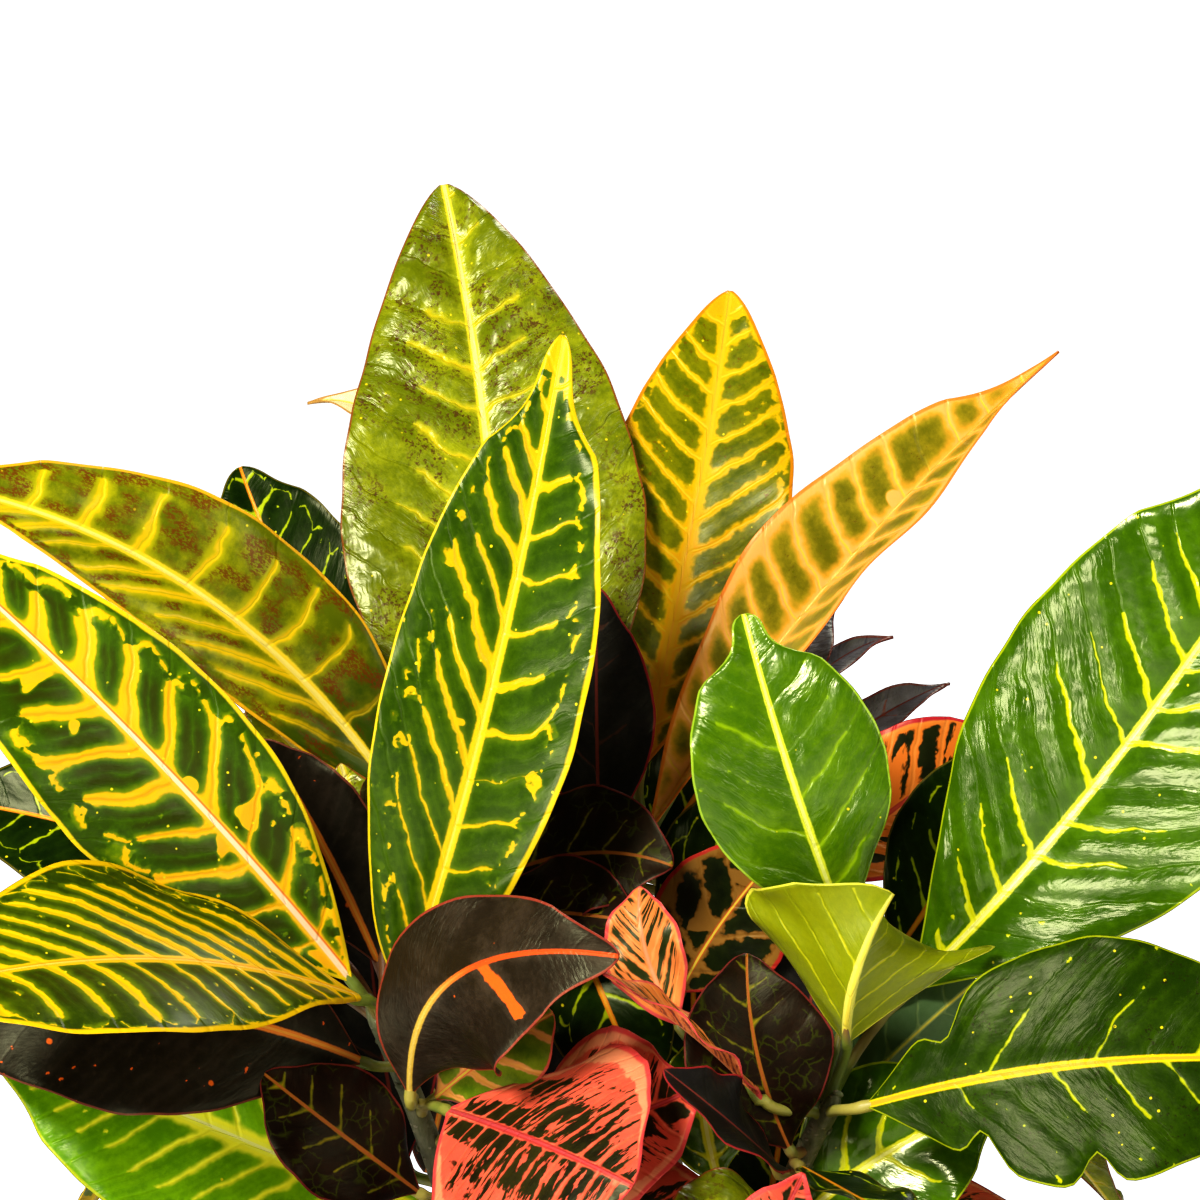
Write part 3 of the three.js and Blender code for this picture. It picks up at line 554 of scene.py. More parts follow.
# What a blade's attributes, and the noise over it, say at each point. across, along, reach (from
# midrib to margin) and gap (between laterals) are millimetres. outward and share run from 0 to 1,
# phase is a whole number on each lateral, and upper is 1 on the upper face.
class Blade:
    def __init__(self, tree, look):
        self.tree = tree
        self.place = read(tree, "bladePlace")
        self.across, self.along, seed = split(self.place)
        self.seed = seed.math("ROUND")  # read back exactly, as the chances jump with the last digit
        self.phase, self.outward, self.gap = split(read(tree, "veinPlace"))
        self.reach, self.share, self.upper = split(read(tree, "bladeReach"))
        for name, size in bladeNoise.items():
            setattr(self, name, noise(self.place, *size) - 0.5)

        # how far each point lies from the nearest lateral vein and from the midrib
        self.bent = self.phase + self.broad * look["drift"] + self.patchy * look["drift"] * 0.12
        self.nearest = self.bent.math("ROUND")
        self.aside = (self.bent - self.nearest).size()
        self.fromVein = self.aside * self.gap
        self.fromRib = self.across.size()
        self.side = self.across.math("SIGN")
        self.ripple = self.outward + self.patchy * 0.16 + self.uneven * 0.05
        self.strength = 1 - look["veinThin"] * fall(self.share + self.broad * 0.3, 0.2, 0.5)


# how far outside a lateral vein's band each point lies
def veinEdge(blade, look):
    luck = chance(blade.tree, blade.nearest, blade.seed + blade.side * 3)
    otherLuck = chance(blade.tree, blade.nearest + 0.37, blade.seed + blade.side * 5)
    half = look["veinWidth"] / 2 * (1 - look["veinTaper"] * blade.outward) * (0.6 + 0.8 * luck)
    half = half * blade.strength + look["veinShare"] / 2 * blade.gap
    half = half + blade.patchy * look["veinWidth"] * 0.3
    ends = blade.ripple + (otherLuck - 0.5) * look["stagger"]
    past = rise(ends, look["veinEnd"] - 0.05, look["veinEnd"] + 0.12)
    edge = blade.fromVein - half + past * blade.gap
    if look["veinMiss"]:
        missing = fall(otherLuck, look["veinMiss"] - 0.04, look["veinMiss"] + 0.04)
        edge = edge + missing * blade.gap
    if look["onlyVein"]:
        others = rise((blade.nearest - look["onlyVein"]).size(), 0.3, 0.6)
        edge = edge + (others + fall(blade.across, -0.5, 0.5)) * blade.gap
    return edge


# A point is inside the pale bands where this turns negative. They are the laterals, the flooded
# midrib, a flooded margin, arches between the laterals, ticks halfway, patches and a flooded tip.
def bandEdge(blade, look):
    flooded = blade.fromRib - look["flood"] * (1 - 0.5 * blade.share)
    near = join(veinEdge(blade, look), flooded, look["round"] * blade.strength)
    if look["groundTo"] < 1:
        near = join(near, (look["groundTo"] - blade.ripple) * blade.reach, look["round"])
    if look["arch"]:
        hump = 1 - (1 - blade.aside * 2) * (1 - blade.aside * 2)
        arch = blade.ripple + blade.broad * 0.12 - look["arch"] - look["archDepth"] * hump
        arch = arch.size() * blade.reach - look["archWidth"] / 2 * (1 + blade.patchy * 3)
        broken = rise(noise(blade.place, 6, 2), look["archBreak"], look["archBreak"] + 0.12)
        near = join(near, arch + broken * 5, look["round"] * 0.6)
    if look["ticks"]:
        doubled = blade.bent * 2
        halfway = (doubled.math("ROUND") - doubled).size() * 0.5 * blade.gap
        shown = rise(noise(blade.place, 4, 3), 0.66 - look["ticks"] * 0.16, 0.72)
        near = near.least(halfway + 1.6 - shown * rise(blade.outward, 0.2, 0.4) * 2.2)
    if look["patch"]:
        least = 0.8 - look["patch"] * 0.22
        pool = rise(noise(blade.place, 12, 1), least, least + 0.1)
        near = near - pool * 5 * fall(blade.outward, 0.35, 0.7)
    if look["floodTip"]:
        near = near - rise(blade.share + blade.patchy * 0.06, 0.93, 0.97) * 9
    return near + blade.uneven * look["rag"] * 1.4


# the colour of the bands, which deepens inwards and may have a core along the vein
def bandColour(blade, look, near):
    depth = rise(near * -1, 0.1, 0.6 + look["veinWidth"] * 0.4)
    colour = blend((depth + blade.patchy * 0.8) * look["deepShare"], look["vein"], look["deep"])
    if look["coreWidth"]:
        core = fall(blade.fromVein, look["coreWidth"] * 0.3, look["coreWidth"])
        core = core * fall(blade.outward, 0.6, 0.9) * look["coreShare"] * blade.strength
        colour = blend(core, colour, look["core"])
    # painted shade: the bands darken towards the blade's base
    if look["baseShadeShare"]:
        low = fall(blade.share + blade.patchy * 0.1, 0.08, 0.26)
        colour = blend(low * look["baseShadeShare"], colour, look["base"])
    return colour


# the colour between the bands, with brown middles, a paler halo by the bands and painted shade darkening the
# base
def groundColour(blade, look, near):
    tone = blade.ragged * 0.8 + blade.broad + blade.patchy * 0.5 - rise(near, 0, 4) * 0.3
    colour = blend(rise(tone, -0.5, 0.25), look["ground"], look["groundLight"])
    if look["brown"]:
        middle = rise(near + blade.patchy * 3, 1.2, 3)
        middle = middle * fall(blade.outward + blade.broad * 0.3, 0.5, 0.66)
        colour = blend(middle * look["brown"], colour, look["brownColour"])
    if look["halo"]:
        colour = blend(fall(near + blade.ragged, 0, 1.8) * look["halo"], colour, look["haloColour"])
    # painted shade: the ground darkens towards the blade's base
    if look["baseShadeShare"]:
        low = fall(blade.share + blade.patchy * 0.1, 0.12, 0.34)
        colour = blend(low * look["baseShadeShare"], colour, look["base"])
    return colour


# a fine mesh, spots and freckles lie over both
def marked(blade, look, near, colour):
    if look["mesh"]:
        bentPlace = joined(blade.tree, blade.across + blade.ragged * 2.5,
                           blade.along + blade.patchy * 3, blade.seed)
        line = cells(bentPlace, look["meshGrain"], "DISTANCE_TO_EDGE") * look["meshGrain"]
        shown = rise(noise(blade.place, 9, 2), 0.62 - look["mesh"] * 0.25, 0.7 - look["mesh"] * 0.2)
        colour = blend(fall(line, 0.06, 0.32) * shown * 0.7, colour, look["meshColour"])
    if look["spots"]:
        spot = fall(cells(blade.place, look["spotGap"]) + blade.ragged * 0.12, 0.07, 0.12)
        pick = split(cells(blade.place, look["spotGap"], "F1", "Color"))[0] + blade.broad * 0.5
        shown = rise(pick, 1 - look["spots"], 1.02 - look["spots"])
        colour = blend(spot * shown, colour, look["spotColour"])
    if look["freckles"]:
        flat = joined(blade.tree, blade.across * look["freckleStretch"], blade.along, blade.seed)
        specks = rise(noise(flat, 1.3, 4, 0.75), 0.62 - 0.08 * look["freckles"],
                      0.66 - 0.06 * look["freckles"])
        clouds = rise(noise(flat, 12, 2), 0.42, 0.6)
        clouds = clouds * rise(near, look["freckleFrom"], look["freckleFrom"] + 1)
        colour = blend(specks * clouds * 0.85, colour, look["freckleColour"])
    return colour


# the midrib is a band with a paler ridge, partly its own colour and partly a painted highlight on the raised
# rib, and the margin is a thin line
def edged(blade, look, colour):
    share = blade.share
    half = look["ribWidth"] / 2 * (1 - 0.55 * share) * (0.6 + 0.4 * rise(share, 0, 0.35))
    half = half * (1 + blade.ragged * 0.5)
    ridgeHalf = look["ridgeWidth"] / 2 * (1 - 0.5 * share)
    ridge = fall(blade.fromRib, ridgeHalf * 0.7, ridgeHalf * 1.1) * 0.8
    ribColour = look["rib"]
    if look["ribTipShare"]:
        towardsTip = rise(share, 0.25, 0.6)
        ribColour = blend(towardsTip * look["ribTipShare"], ribColour, look["ribTip"])
        ridge = ridge * towardsTip.flipped()
    colour = blend(fall(blade.fromRib, half * 0.75, half + 0.2), colour, ribColour)
    if look["ribEdgeShare"]:
        line = fall((blade.across - ridgeHalf - 0.2).size(), 0.1, 0.45)
        colour = blend(line * look["ribEdgeShare"], colour, look["ribEdge"])
    # the paler ridge: partly the rib's own colour, partly a painted highlight
    colour = blend(ridge, colour, look["ridge"])
    rim = look["marginWidth"] * (1 + blade.side * look["marginBias"]) * (1 + blade.broad)
    fromMargin = blade.outward.flipped() * blade.reach + blade.ragged * 0.4
    return blend(fall(fromMargin, rim * 0.6, rim * 1.1), colour, look["margin"])


def leafFinish(name):
    look = {**plainLook, **leafLooks[name]}
    material, tree, shader = newFinish("leaf_" + name)
    blade = Blade(tree, look)
    near = bandEdge(blade, look)
    ground = rise(near, -look["soft"], look["soft"])
    if look["streaks"]:  # dark streaks run beside the laterals
        run = blade.outward * blade.reach / look["streakLength"]
        beside = joined(tree, blade.bent * blade.gap / look["streakWidth"], run, blade.seed)
        dark = noise(beside, 1, 3, 0.55) - (blade.outward - 0.4) * look["streakOut"]
        ground = ground * rise(dark, look["streaks"] - 0.02, look["streaks"] + 0.03)

    colour = blend(ground, bandColour(blade, look, near), groundColour(blade, look, near))
    colour = marked(blade, look, near, colour)
    lower = blade.upper.flipped()
    dull = lower * look["underShare"] * (0.5 + 0.5 * ground) * (0.85 + blade.ragged * 0.6)
    colour = blend(dull, colour, look["under"])
    feed(tree, edged(blade, look, colour), shader.inputs["Base Color"])
    feed(tree, look["gloss"] + blade.patchy * 0.12 + lower * 0.12, shader.inputs["Roughness"])
    shader.inputs["Specular IOR Level"].default_value = look["shine"]
    feed(tree, look["shineColour"], shader.inputs["Specular Tint"])
    shader.inputs["Subsurface Weight"].default_value = look["glow"]
    shader.inputs["Subsurface Radius"].default_value = look["glowColour"]
    shader.inputs["Subsurface Scale"].default_value = look["glowReach"] * mm

    # grooves follow the laterals, with a crinkled surface between them; heights are millimetres
    run = joined(tree, blade.bent * blade.gap, blade.outward * blade.reach * 0.45, blade.seed)
    height = rise(blade.fromVein, 0.0, 0.9) * look["groove"] + blade.ragged * look["grain"]
    bumped(tree, shader, height + noise(run, look["crinkleWidth"], 3, 0.55) * look["crinkle"], 1.0)
    return material


# The leaves. Each call gives a leaf's name, stem and look, the base, middle and tip of its midrib
# in the front view, its width and the way its upper face looks. fold and curl lift the halves,
# sides scales the left and right half, and a notch is (side, place, depth, spread). A low full or
# point rounds the base or tip. lean is how far the laterals slope, left and right.

leaves = []


def leaf(name, stem, look, base, middle, tip, width, face, **more):
    shape = {"fold": 12, "curl": 0, "wave": 1.5, "waves": 3, "widest": 0.5, "full": 1.1, "point": 0.7,
             "drip": 0.15, "tipFace": face, "sides": (1, 1), "notches": (), "order": len(leaves)}
    leaves.append({"name": name, "stem": stem, "look": look, "base": base, "middle": middle, "tip": tip,
                   "width": width, "face": face, **shape, **more})


leaf("frontCentre", "frontLeft", "greenGold", (-58, -117, 38), (-31, -20, 55), (-11, 80, 45), 61,
     (-0.15, 0.1, 1), fold=18, widest=0.46, full=0.7, point=0.8, drip=0.4, lean=(1.5, 0.2), gap=(13, 16))
leaf("bigLeft", "frontLeft", "bold", (-74, -115, 42), (-136, -45, 72), (-207, 21, 85), 66, (-0.1, 0.3, 1),
     fold=10, widest=0.48, sides=(1, 0.82), lean=(0.5, 0.75), gap=(15, 18))
leaf("leftLevel", "frontLeft", "striped", (-70, -120, 48), (-138, -108, 102), (-213, -120, 128), 70,
     (0, 0.75, 0.65), fold=8, widest=0.52, lean=(-0.6, 1.5), gap=(10, 13))
leaf("purpleLow", "frontLeft", "purple", (-70, -139, 40), (-135, -122, 58), (-207, -126, 55), 64,
     (0, 0.35, 0.95), fold=5)
leaf("greenLow", "frontLeft", "lime", (-51, -187, 28), (-114, -159, 38), (-184, -130, 32), 72,
     (0, 0.3, 0.95), fold=8)
leaf("duskyLow", "frontLeft", "maroon", (-54, -178, 40), (-78, -160, 56), (-101, -142, 56), 38,
     (0, 0.4, 0.9), fold=5)
leaf("duskyFront", "frontLeft", "ashen", (-57, -149, 48), (-43, -113, 80), (6, -107, 110), 52,
     (-0.1, 0.35, 0.95), fold=-6, widest=0.48, sides=(0.85, 1.15))
leaf("redFront", "frontLeft", "red", (-46, -153, 52), (-18, -163, 95), (10, -176, 115), 78, (0, 0.5, 0.85),
     fold=-5, lean=(0.2, -0.1), gap=(6, 9))
leaf("redRight", "frontLeft", "red", (-30, -160, 35), (3, -156, 58), (29, -146, 72), 54, (0, 0.4, 0.9),
     fold=5)
leaf("redLow", "frontLeft", "red", (-30, -214, 42), (2, -188, 62), (42, -196, 62), 52, (0, 0.6, 0.8),
     fold=5)
leaf("darkLeft", "frontLeft", "deep", (-81, -105, 20), (-135, -75, 10), (-198, -60, 0), 60, (0, 0.5, 0.85))
leaf("duskyLeft", "frontLeft", "purple", (-81, -116, 25), (-120, -90, 30), (-152, -68, 30), 42,
     (0, 0.5, 0.85))
leaf("duskyMid", "frontLeft", "purple", (-66, -110, 20), (-84, -72, 28), (-102, -42, 30), 34, (0, 0.2, 1))
leaf("creamMid", "frontLeft", "cream", (-50, -150, 38), (-30, -134, 55), (-14, -124, 58), 34, (0, 0.3, 1))
leaf("oliveTwist", "frontLeft", "olive", (-66, -98, 18), (-72, -70, 12), (-78, -49, 8), 20, (0.3, 0.3, 1))
leaf("redEdge", "frontLeft", "maroon", (-60, -100, 26), (-66, -66, 24), (-60, -36, 14), 26, (-0.95, 0, 0.3))
leaf("tallBack", "backLeft", "olive", (-31, -48, -15), (-33, 36, -35), (-47, 125, -70), 94, (0.05, 0.2, 1),
     fold=6, widest=0.42, full=0.85, point=0.72, drip=0, lean=(0.4, 0.4), gap=(13, 17))
leaf("archLeft", "backLeft", "rusty", (-60, -60, -8), (-122, 3, 15), (-203, 35, 40), 54, (-0.2, 0.45, 0.85),
     fold=22, curl=-25, widest=0.42, full=0.9, sides=(0.75, 1.05), lean=(2.2, -0.2), gap=(13, 19))
leaf("darkBack", "backLeft", "deep", (-60, -60, -40), (-90, -3, -55), (-108, 40, -70), 54, (0, 0.2, 1),
     fold=18)
leaf("thinTip", "backLeft", "pale", (-30, -57, -45), (-51, 36, -95), (-88, 59, -120), 30, (0, 0.5, 0.8),
     fold=40, point=1.3)
leaf("maroonTop", "backLeft", "maroon", (-33, -84, 0), (-4, -76, 20), (22, -80, 32), 40, (0, 0.3, 1),
     fold=8)
leaf("maroonLow", "backLeft", "maroon", (-36, -93, 8), (-10, -94, 26), (12, -97, 36), 34, (0, 0.3, 1))
leaf("oliveSmall", "backLeft", "olive", (-64, -74, -12), (-86, -50, -10), (-106, -30, -10), 28, (0, 0.3, 1))
leaf("backMid", "backLeft", "olive", (-26, -78, -42), (-22, -35, -105), (-18, -62, -180), 62, (0, 1, -0.3),
     fold=15)
leaf("backLeftHigh", "backLeft", "greenGold", (-42, -78, -38), (-78, -40, -95), (-108, -62, -165), 60,
     (-0.2, 1, -0.3), fold=12)
leaf("backLeftLow", "backLeft", "deep", (-42, -104, -24), (-95, -98, -75), (-150, -140, -112), 58,
     (-0.2, 1, -0.2), fold=10)
leaf("backLow", "backLeft", "purple", (-28, -125, -36), (-38, -118, -100), (-52, -172, -152), 60,
     (-0.1, 1, -0.3), fold=10)
leaf("lowLeft", "backLeft", "olive", (-46, -196, -8), (-105, -186, -25), (-165, -220, -35), 58,
     (-0.2, 1, 0.1), fold=10)
leaf("lowBackLeft", "backLeft", "purple", (-36, -205, -34), (-62, -192, -98), (-88, -235, -148), 58,
     (-0.2, 1, -0.2), fold=10)
leaf("midLeft", "backLeft", "greenGold", (-46, -152, -18), (-105, -140, -55), (-158, -188, -85), 58,
     (-0.2, 1, -0.1), fold=10)
leaf("midBack", "backLeft", "fresh", (-10, -160, -45), (-5, -150, -110), (5, -205, -165), 58, (0, 1, -0.3),
     fold=10)
leaf("goldBack", "backRight", "gold", (12, -52, -22), (28, 24, -40), (39, 93, -70), 60, (0, 0.2, 1),
     fold=8, point=0.75, drip=0.05)
leaf("goldRight", "backRight", "amber", (14, -70, -8), (70, 6, -12), (138, 75, -20), 52, (-0.45, 0.45, 0.77),
     fold=38, point=1.25, drip=0.3)
leaf("redBack", "backRight", "ember", (60, -85, -12), (92, -60, -8), (123, -40, -12), 44, (0, 0.2, 1))
leaf("duskA", "backRight", "silver", (36, -60, -40), (57, -24, -70), (71, 1, -95), 17, (0.3, 0.3, 1),
     fold=30, point=1.1)
leaf("duskB", "backRight", "silver", (33, -69, -45), (60, -28, -75), (88, -11, -95), 14, (0, 0.5, 0.8),
     fold=30, point=1.1)
leaf("duskC", "backRight", "silver", (36, -75, -35), (74, -42, -55), (105, -25, -70), 18, (0, 0.5, 0.8),
     fold=30, point=1.1)
leaf("tanBlotch", "backRight", "tan", (24, -118, 2), (37, -96, 12), (57, -72, 15), 42, (0, 0.2, 1), fold=10)
leaf("darkUpright", "backRight", "dusk", (0, -75, -5), (-1, -36, -8), (-1, 4, -12), 36, (0, 0.2, 1))
leaf("darkBehind", "backRight", "dusk", (15, -72, -30), (12, -45, -38), (13, -20, -45), 32, (0, 0.2, 1))
leaf("blackRib", "backRight", "deep", (12, -84, -28), (30, -57, -30), (48, -30, -35), 46, (0, 0.2, 1))
leaf("blackRibLow", "backRight", "deep", (16, -94, -5), (36, -76, -8), (57, -60, -12), 34, (0, 0.2, 1))
leaf("darkGreenMid", "backRight", "deep", (-8, -98, 12), (3, -124, 26), (14, -150, 26), 38, (0, 0.3, 1))
leaf("backRightHigh", "backRight", "greenGold", (32, -86, -34), (72, -52, -95), (102, -80, -160), 60,
     (0.2, 1, -0.3), fold=12)
leaf("backRightMid", "backRight", "soft", (38, -106, -22), (100, -92, -70), (150, -128, -112), 58,
     (0.2, 1, -0.2), fold=10)
leaf("backRightLow", "backRight", "red", (30, -130, -32), (58, -122, -98), (78, -172, -150), 58,
     (0.1, 1, -0.3), fold=10)
leaf("lowBackRight", "backRight", "deep", (34, -205, -34), (66, -192, -95), (95, -235, -145), 58,
     (0.2, 1, -0.2), fold=10)
leaf("lowRightBack", "backRight", "red", (46, -196, -6), (110, -184, -28), (165, -222, -40), 58,
     (0.2, 1, 0.1), fold=10)
leaf("midRight", "backRight", "olive", (44, -152, -16), (104, -140, -55), (158, -188, -85), 58,
     (0.2, 1, -0.1), fold=10)
leaf("smallGreen", "frontRight", "soft", (74, -100, 42), (57, -52, 58), (43, -4, 52), 56, (0, 0.1, 1),
     fold=6, drip=0.5)
leaf("underFront", "frontRight", "under", (74, -133, 64), (77, -112, 84), (88, -88, 86), 92,
     (0.2, 0.5, -0.85),
     tipFace=(0.1, 0.9, -0.4), fold=38, sides=(1.1, 0.9), notches=[(-1, 0.34, 0.3, 0.06)])
leaf("bigRight", "frontRight", "fresh", (92, -118, 32), (153, -50, 62), (216, 42, 88), 90, (-0.1, 0.3, 1),
     fold=6, widest=0.58, full=0.9, point=0.5)
leaf("greenBehind", "frontRight", "deep", (86, -110, 12), (110, -74, 4), (130, -40, 0), 46, (0, 0.3, 1))
leaf("notchedRight", "frontRight", "notched", (79, -152, 72), (147, -139, 92), (216, -139, 98), 70,
     (0, 0.35, 0.95), fold=4, notches=[(-1, 0.2, 0.4, 0.04), (1, 0.25, 0.4, 0.04), (1, 0.5, 0.28, 0.04)])
leaf("duskyHang", "frontRight", "maroon", (57, -165, 58), (47, -136, 68), (44, -106, 62), 44, (0.1, 0.1, 1),
     fold=14)
leaf("paleUnder", "frontRight", "paleUnder", (66, -158, 40), (88, -136, 34), (113, -114, 26), 44,
     (0, 0.2, -1))
leaf("greenUnder", "frontRight", "fresh", (60, -186, 40), (86, -166, 46), (119, -150, 46), 52, (0, 0.3, 1))
leaf("strip", "frontRight", "deep", (60, -170, 62), (78, -180, 86), (105, -194, 108), 32, (0.2, 1, 0.05))
leaf("blackFold", "frontRight", "dusk", (55, -172, 66), (40, -158, 88), (19, -141, 92), 32, (0.3, 0.8, 0.5),
     fold=15)
leaf("oliveLow", "frontRight", "olive", (55, -190, 60), (38, -186, 74), (20, -196, 80), 30, (0, 0.6, 0.8))
leaf("pinkTip", "frontRight", "red", (38, -214, 62), (50, -194, 82), (61, -172, 100), 28, (0, 0.3, 1))
leaf("greenUpright", "frontRight", "fresh", (36, -176, 40), (31, -153, 46), (30, -130, 38), 26, (0, 0.2, 1))
leaf("pinkUpright", "frontRight", "peach", (24, -128, 62), (14, -106, 66), (12, -86, 58), 24, (-0.3, 0.1, 1))
leaf("pinkRibbon", "frontRight", "peach", (49, -150, 68), (28, -130, 78), (1, -112, 92), 22, (0.3, 0.9, 0.2),
     fold=15)
leaf("lowRight", "frontRight", "greenGold", (52, -222, 46), (112, -212, 76), (170, -245, 96), 60,
     (0.2, 1, 0.3), fold=10)
leaf("lowFrontRight", "frontRight", "purple", (42, -242, 52), (62, -246, 105), (85, -288, 142), 56,
     (0.1, 1, 0.4), fold=10)
leaf("lowFrontLeft", "frontLeft", "purple", (-46, -212, 44), (-84, -205, 95), (-130, -240, 128), 58,
     (-0.2, 1, 0.3), fold=10)
leaf("lowFront", "frontLeft", "deep", (-26, -236, 46), (-16, -238, 98), (-8, -280, 138), 58, (0, 1, 0.4),
     fold=10)
# painted shade: near-black inner leaves fill the gaps deep in the crown, their dark looks standing in for
# the shade there
leaf("innerLeft", "frontLeft", "dusk", (-58, -170, 8), (-66, -130, 4), (-70, -88, 0), 36, (0, 0.2, 1))
leaf("innerCentre", "backRight", "dusk", (4, -170, -12), (-4, -138, -6), (-14, -108, -6), 38, (0, 0.2, 1))
leaf("innerRight", "frontRight", "dusk", (56, -172, 22), (62, -134, 14), (64, -96, 8), 38, (0, 0.2, 1))
leaf("innerLow", "frontRight", "deep", (46, -202, 32), (52, -174, 31), (55, -150, 29), 32, (0, 0.2, 1),
     fold=4)
leaf("innerDeep", "backRight", "deep", (26, -150, -14), (28, -122, -10), (26, -92, -14), 36, (0, 0.2, 1))

# Blades. Lengths are millimetres; gap and pillow, of the laterals, may be given by a leaf's look.

bladeForm = {
    "thickness": 0.5, "ribLift": 0.3, "ribKeel": 1.1, "ribWidth": 1.4, "gap": (10, 13), "pillow": 0.5,
    "lean": (0.6, 0.6), "pillowSides": (1, 1), "sweep": 0.3, "edgeWave": 0.8, "edgeRagged": 0.004,
    "rowStep": 2.1, "columnStep": 2.3,
}
bladeForms = {
    "greenGold": {"pillow": 0.9}, "bold": {"pillow": 0.9}, "olive": {"pillow": 2.8},
    "rusty": {"pillow": 0.7},
    "fresh": {"pillow": 1.6, "gap": (12, 16), "pillowSides": (1.2, 0.7)},
    "notched": {"gap": (12, 16)}, "soft": {"pillow": 0.9, "gap": (12, 16)}, "lime": {"gap": (9, 12)},
    "amber": {"gap": (11, 13), "lean": (0.3, 0.3), "pillow": 0.3}, "red": {"gap": (7, 10)},
    "ember": {"gap": (8, 11)}, "peach": {"gap": (6, 8), "lean": (1.2, 1.2)}, "tan": {"gap": (11, 14)},
    "purple": {"pillow": 0.25}, "ashen": {"pillow": 0.25}, "dusk": {"pillow": 0.3},
    "silver": {"pillow": 0.3}, "deep": {"pillow": 0.4},
}


def midrib(entry, t):
    base, middle, tip = [placed(entry[key]) for key in ("base", "middle", "tip")]
    handle = 2 * middle - (base + tip) / 2
    t = np.asarray(t, float)[..., None]
    point = (1 - t) ** 2 * base + 2 * t * (1 - t) * handle + t * t * tip
    return point, unit(2 * (1 - t) * (handle - base) + 2 * t * (tip - handle))


def halfWidth(entry, t, side):
    bend = math.log(0.5) / math.log(entry["widest"])
    power = entry["full"] + (entry["point"] - entry["full"]) * t
    shape = np.clip(np.sin(math.pi * np.clip(t, 0, 1) ** bend), 0, 1) ** power
    shape = shape * (1 - entry["drip"] * np.sin(math.pi * np.clip((t - 0.82) / 0.18, 0, 1)))
    for which, at, depth, spread in entry["notches"]:
        shape = shape * (1 - depth * np.exp(-((t - at) / spread) ** 2) * (side * which > 0))
    return entry["width"] / 2 * shape * np.where(side < 0, entry["sides"][0], entry["sides"][1])


# the blade's middle surface, at t from base to tip and v from the left margin (-1) to the right
def bladeSurface(entry, t, v, reach):
    point, way = midrib(entry, t)
    face = facing(entry["face"]) * (1 - t[..., None]) + facing(entry["tipFace"]) * t[..., None]
    face = unit(face - (face * way).sum(-1, keepdims=True) * way)
    side = np.cross(way, face)
    angle = np.radians(entry["fold"] + entry["curl"] * np.abs(v) / 2)
    beat = 2 * math.pi * entry["waves"] * t + entry["order"] * 1.7 + (v < 0) * 1.1
    ripple = entry["wave"] * v * v * np.sin(beat) * np.sqrt(np.sin(math.pi * np.clip(t, 0, 1)))
    across = (np.sign(v) * np.abs(v) * reach * np.cos(angle))[..., None]
    return point + side * across + face * (np.abs(v) * reach * np.sin(angle) + ripple)[..., None]


# how far along the laterals' order each point lies: a whole number is on a vein
def veinOrder(form, dice, along, across, widest):
    order = np.zeros(along.shape)
    gaps = np.zeros(along.shape)
    for side in (-1, 1):
        spots = -2.5 * widest + np.cumsum(dice.uniform(*form["gap"], 60))
        lean = form["lean"][0 if side < 0 else 1]
        root = along - lean * np.abs(across) - form["sweep"] * across ** 2 / widest
        ours = (across < 0) if side < 0 else (across >= 0)
        order = np.where(ours, np.interp(root, spots, np.arange(60)), order)
        local = np.interp(root, spots, np.gradient(spots))
        gaps = np.where(ours, local / math.hypot(1, lean), gaps)
    return order, gaps


# rows along the blade and columns across it, closer together at its ends and near the midrib
def bladeGrid(form, length):
    rows = int(np.clip(length / form["rowStep"], 28, 84))
    columns = int(np.clip(form["width"] / 2 / form["columnStep"], 6, 14))
    even = np.linspace(0, 1, rows)
    t = 0.003 + 0.994 * (even * 0.6 + (0.5 - 0.5 * np.cos(math.pi * even)) * 0.4)
    spread = np.linspace(-1, 1, 2 * columns + 1)
    return np.meshgrid(t, np.sign(spread) * np.abs(spread) ** 1.35, indexing="ij")


# the laterals are sunken, with a pillow between each two, and the margin is frilled
def bladeLift(form, dice, beats, t, v, across, order):
    luck = dice.uniform(0.5, 1.3, 130)[np.floor(order).astype(int) + 65 * (v < 0)]
    pillow = form["pillow"] * luck * np.abs(np.sin(math.pi * order)) ** 0.7
    pillow = pillow * np.where(v < 0, *form["pillowSides"])
    pillow = pillow * smoothStep(1, 7, np.abs(across)) * (1 - smoothStep(0.8, 1, np.abs(v)))
    frill = np.sin(2 * math.pi * 2.3 * t + beats[2] + v)
    frill = frill + 0.5 * np.sin(2 * math.pi * 4.7 * t + beats[3] - v)
    frill = form["edgeWave"] * frill * np.abs(v) ** 3 * np.sin(math.pi * t) ** 0.5
    return (pillow + frill) * np.clip(form["width"] / 60, 0.3, 1)


# Each row is a ring: over the top to the right, and back below. Both sides are cut along the same
# diagonals, so that neither pokes through the other.
def ringFaces(rows, around, columns):
    faces = []
    for i in range(rows - 1):
        for k in range(around):
            here = i * around + k
            there = i * around + (k + 1) % around
            corners = (here, there, there + around, here + around)
            a, b, c, d = corners if k <= columns else corners[1:] + corners[:1]
            faces += [(a, b, c), (a, c, d)]
    faces.append(tuple(range(around))[::-1])
    faces.append(tuple(range((rows - 1) * around, rows * around)))
    return faces


def ringed(values):
    return np.concatenate([values, values[:, -1:], values[:, ::-1], values[:, :1]], axis=1)


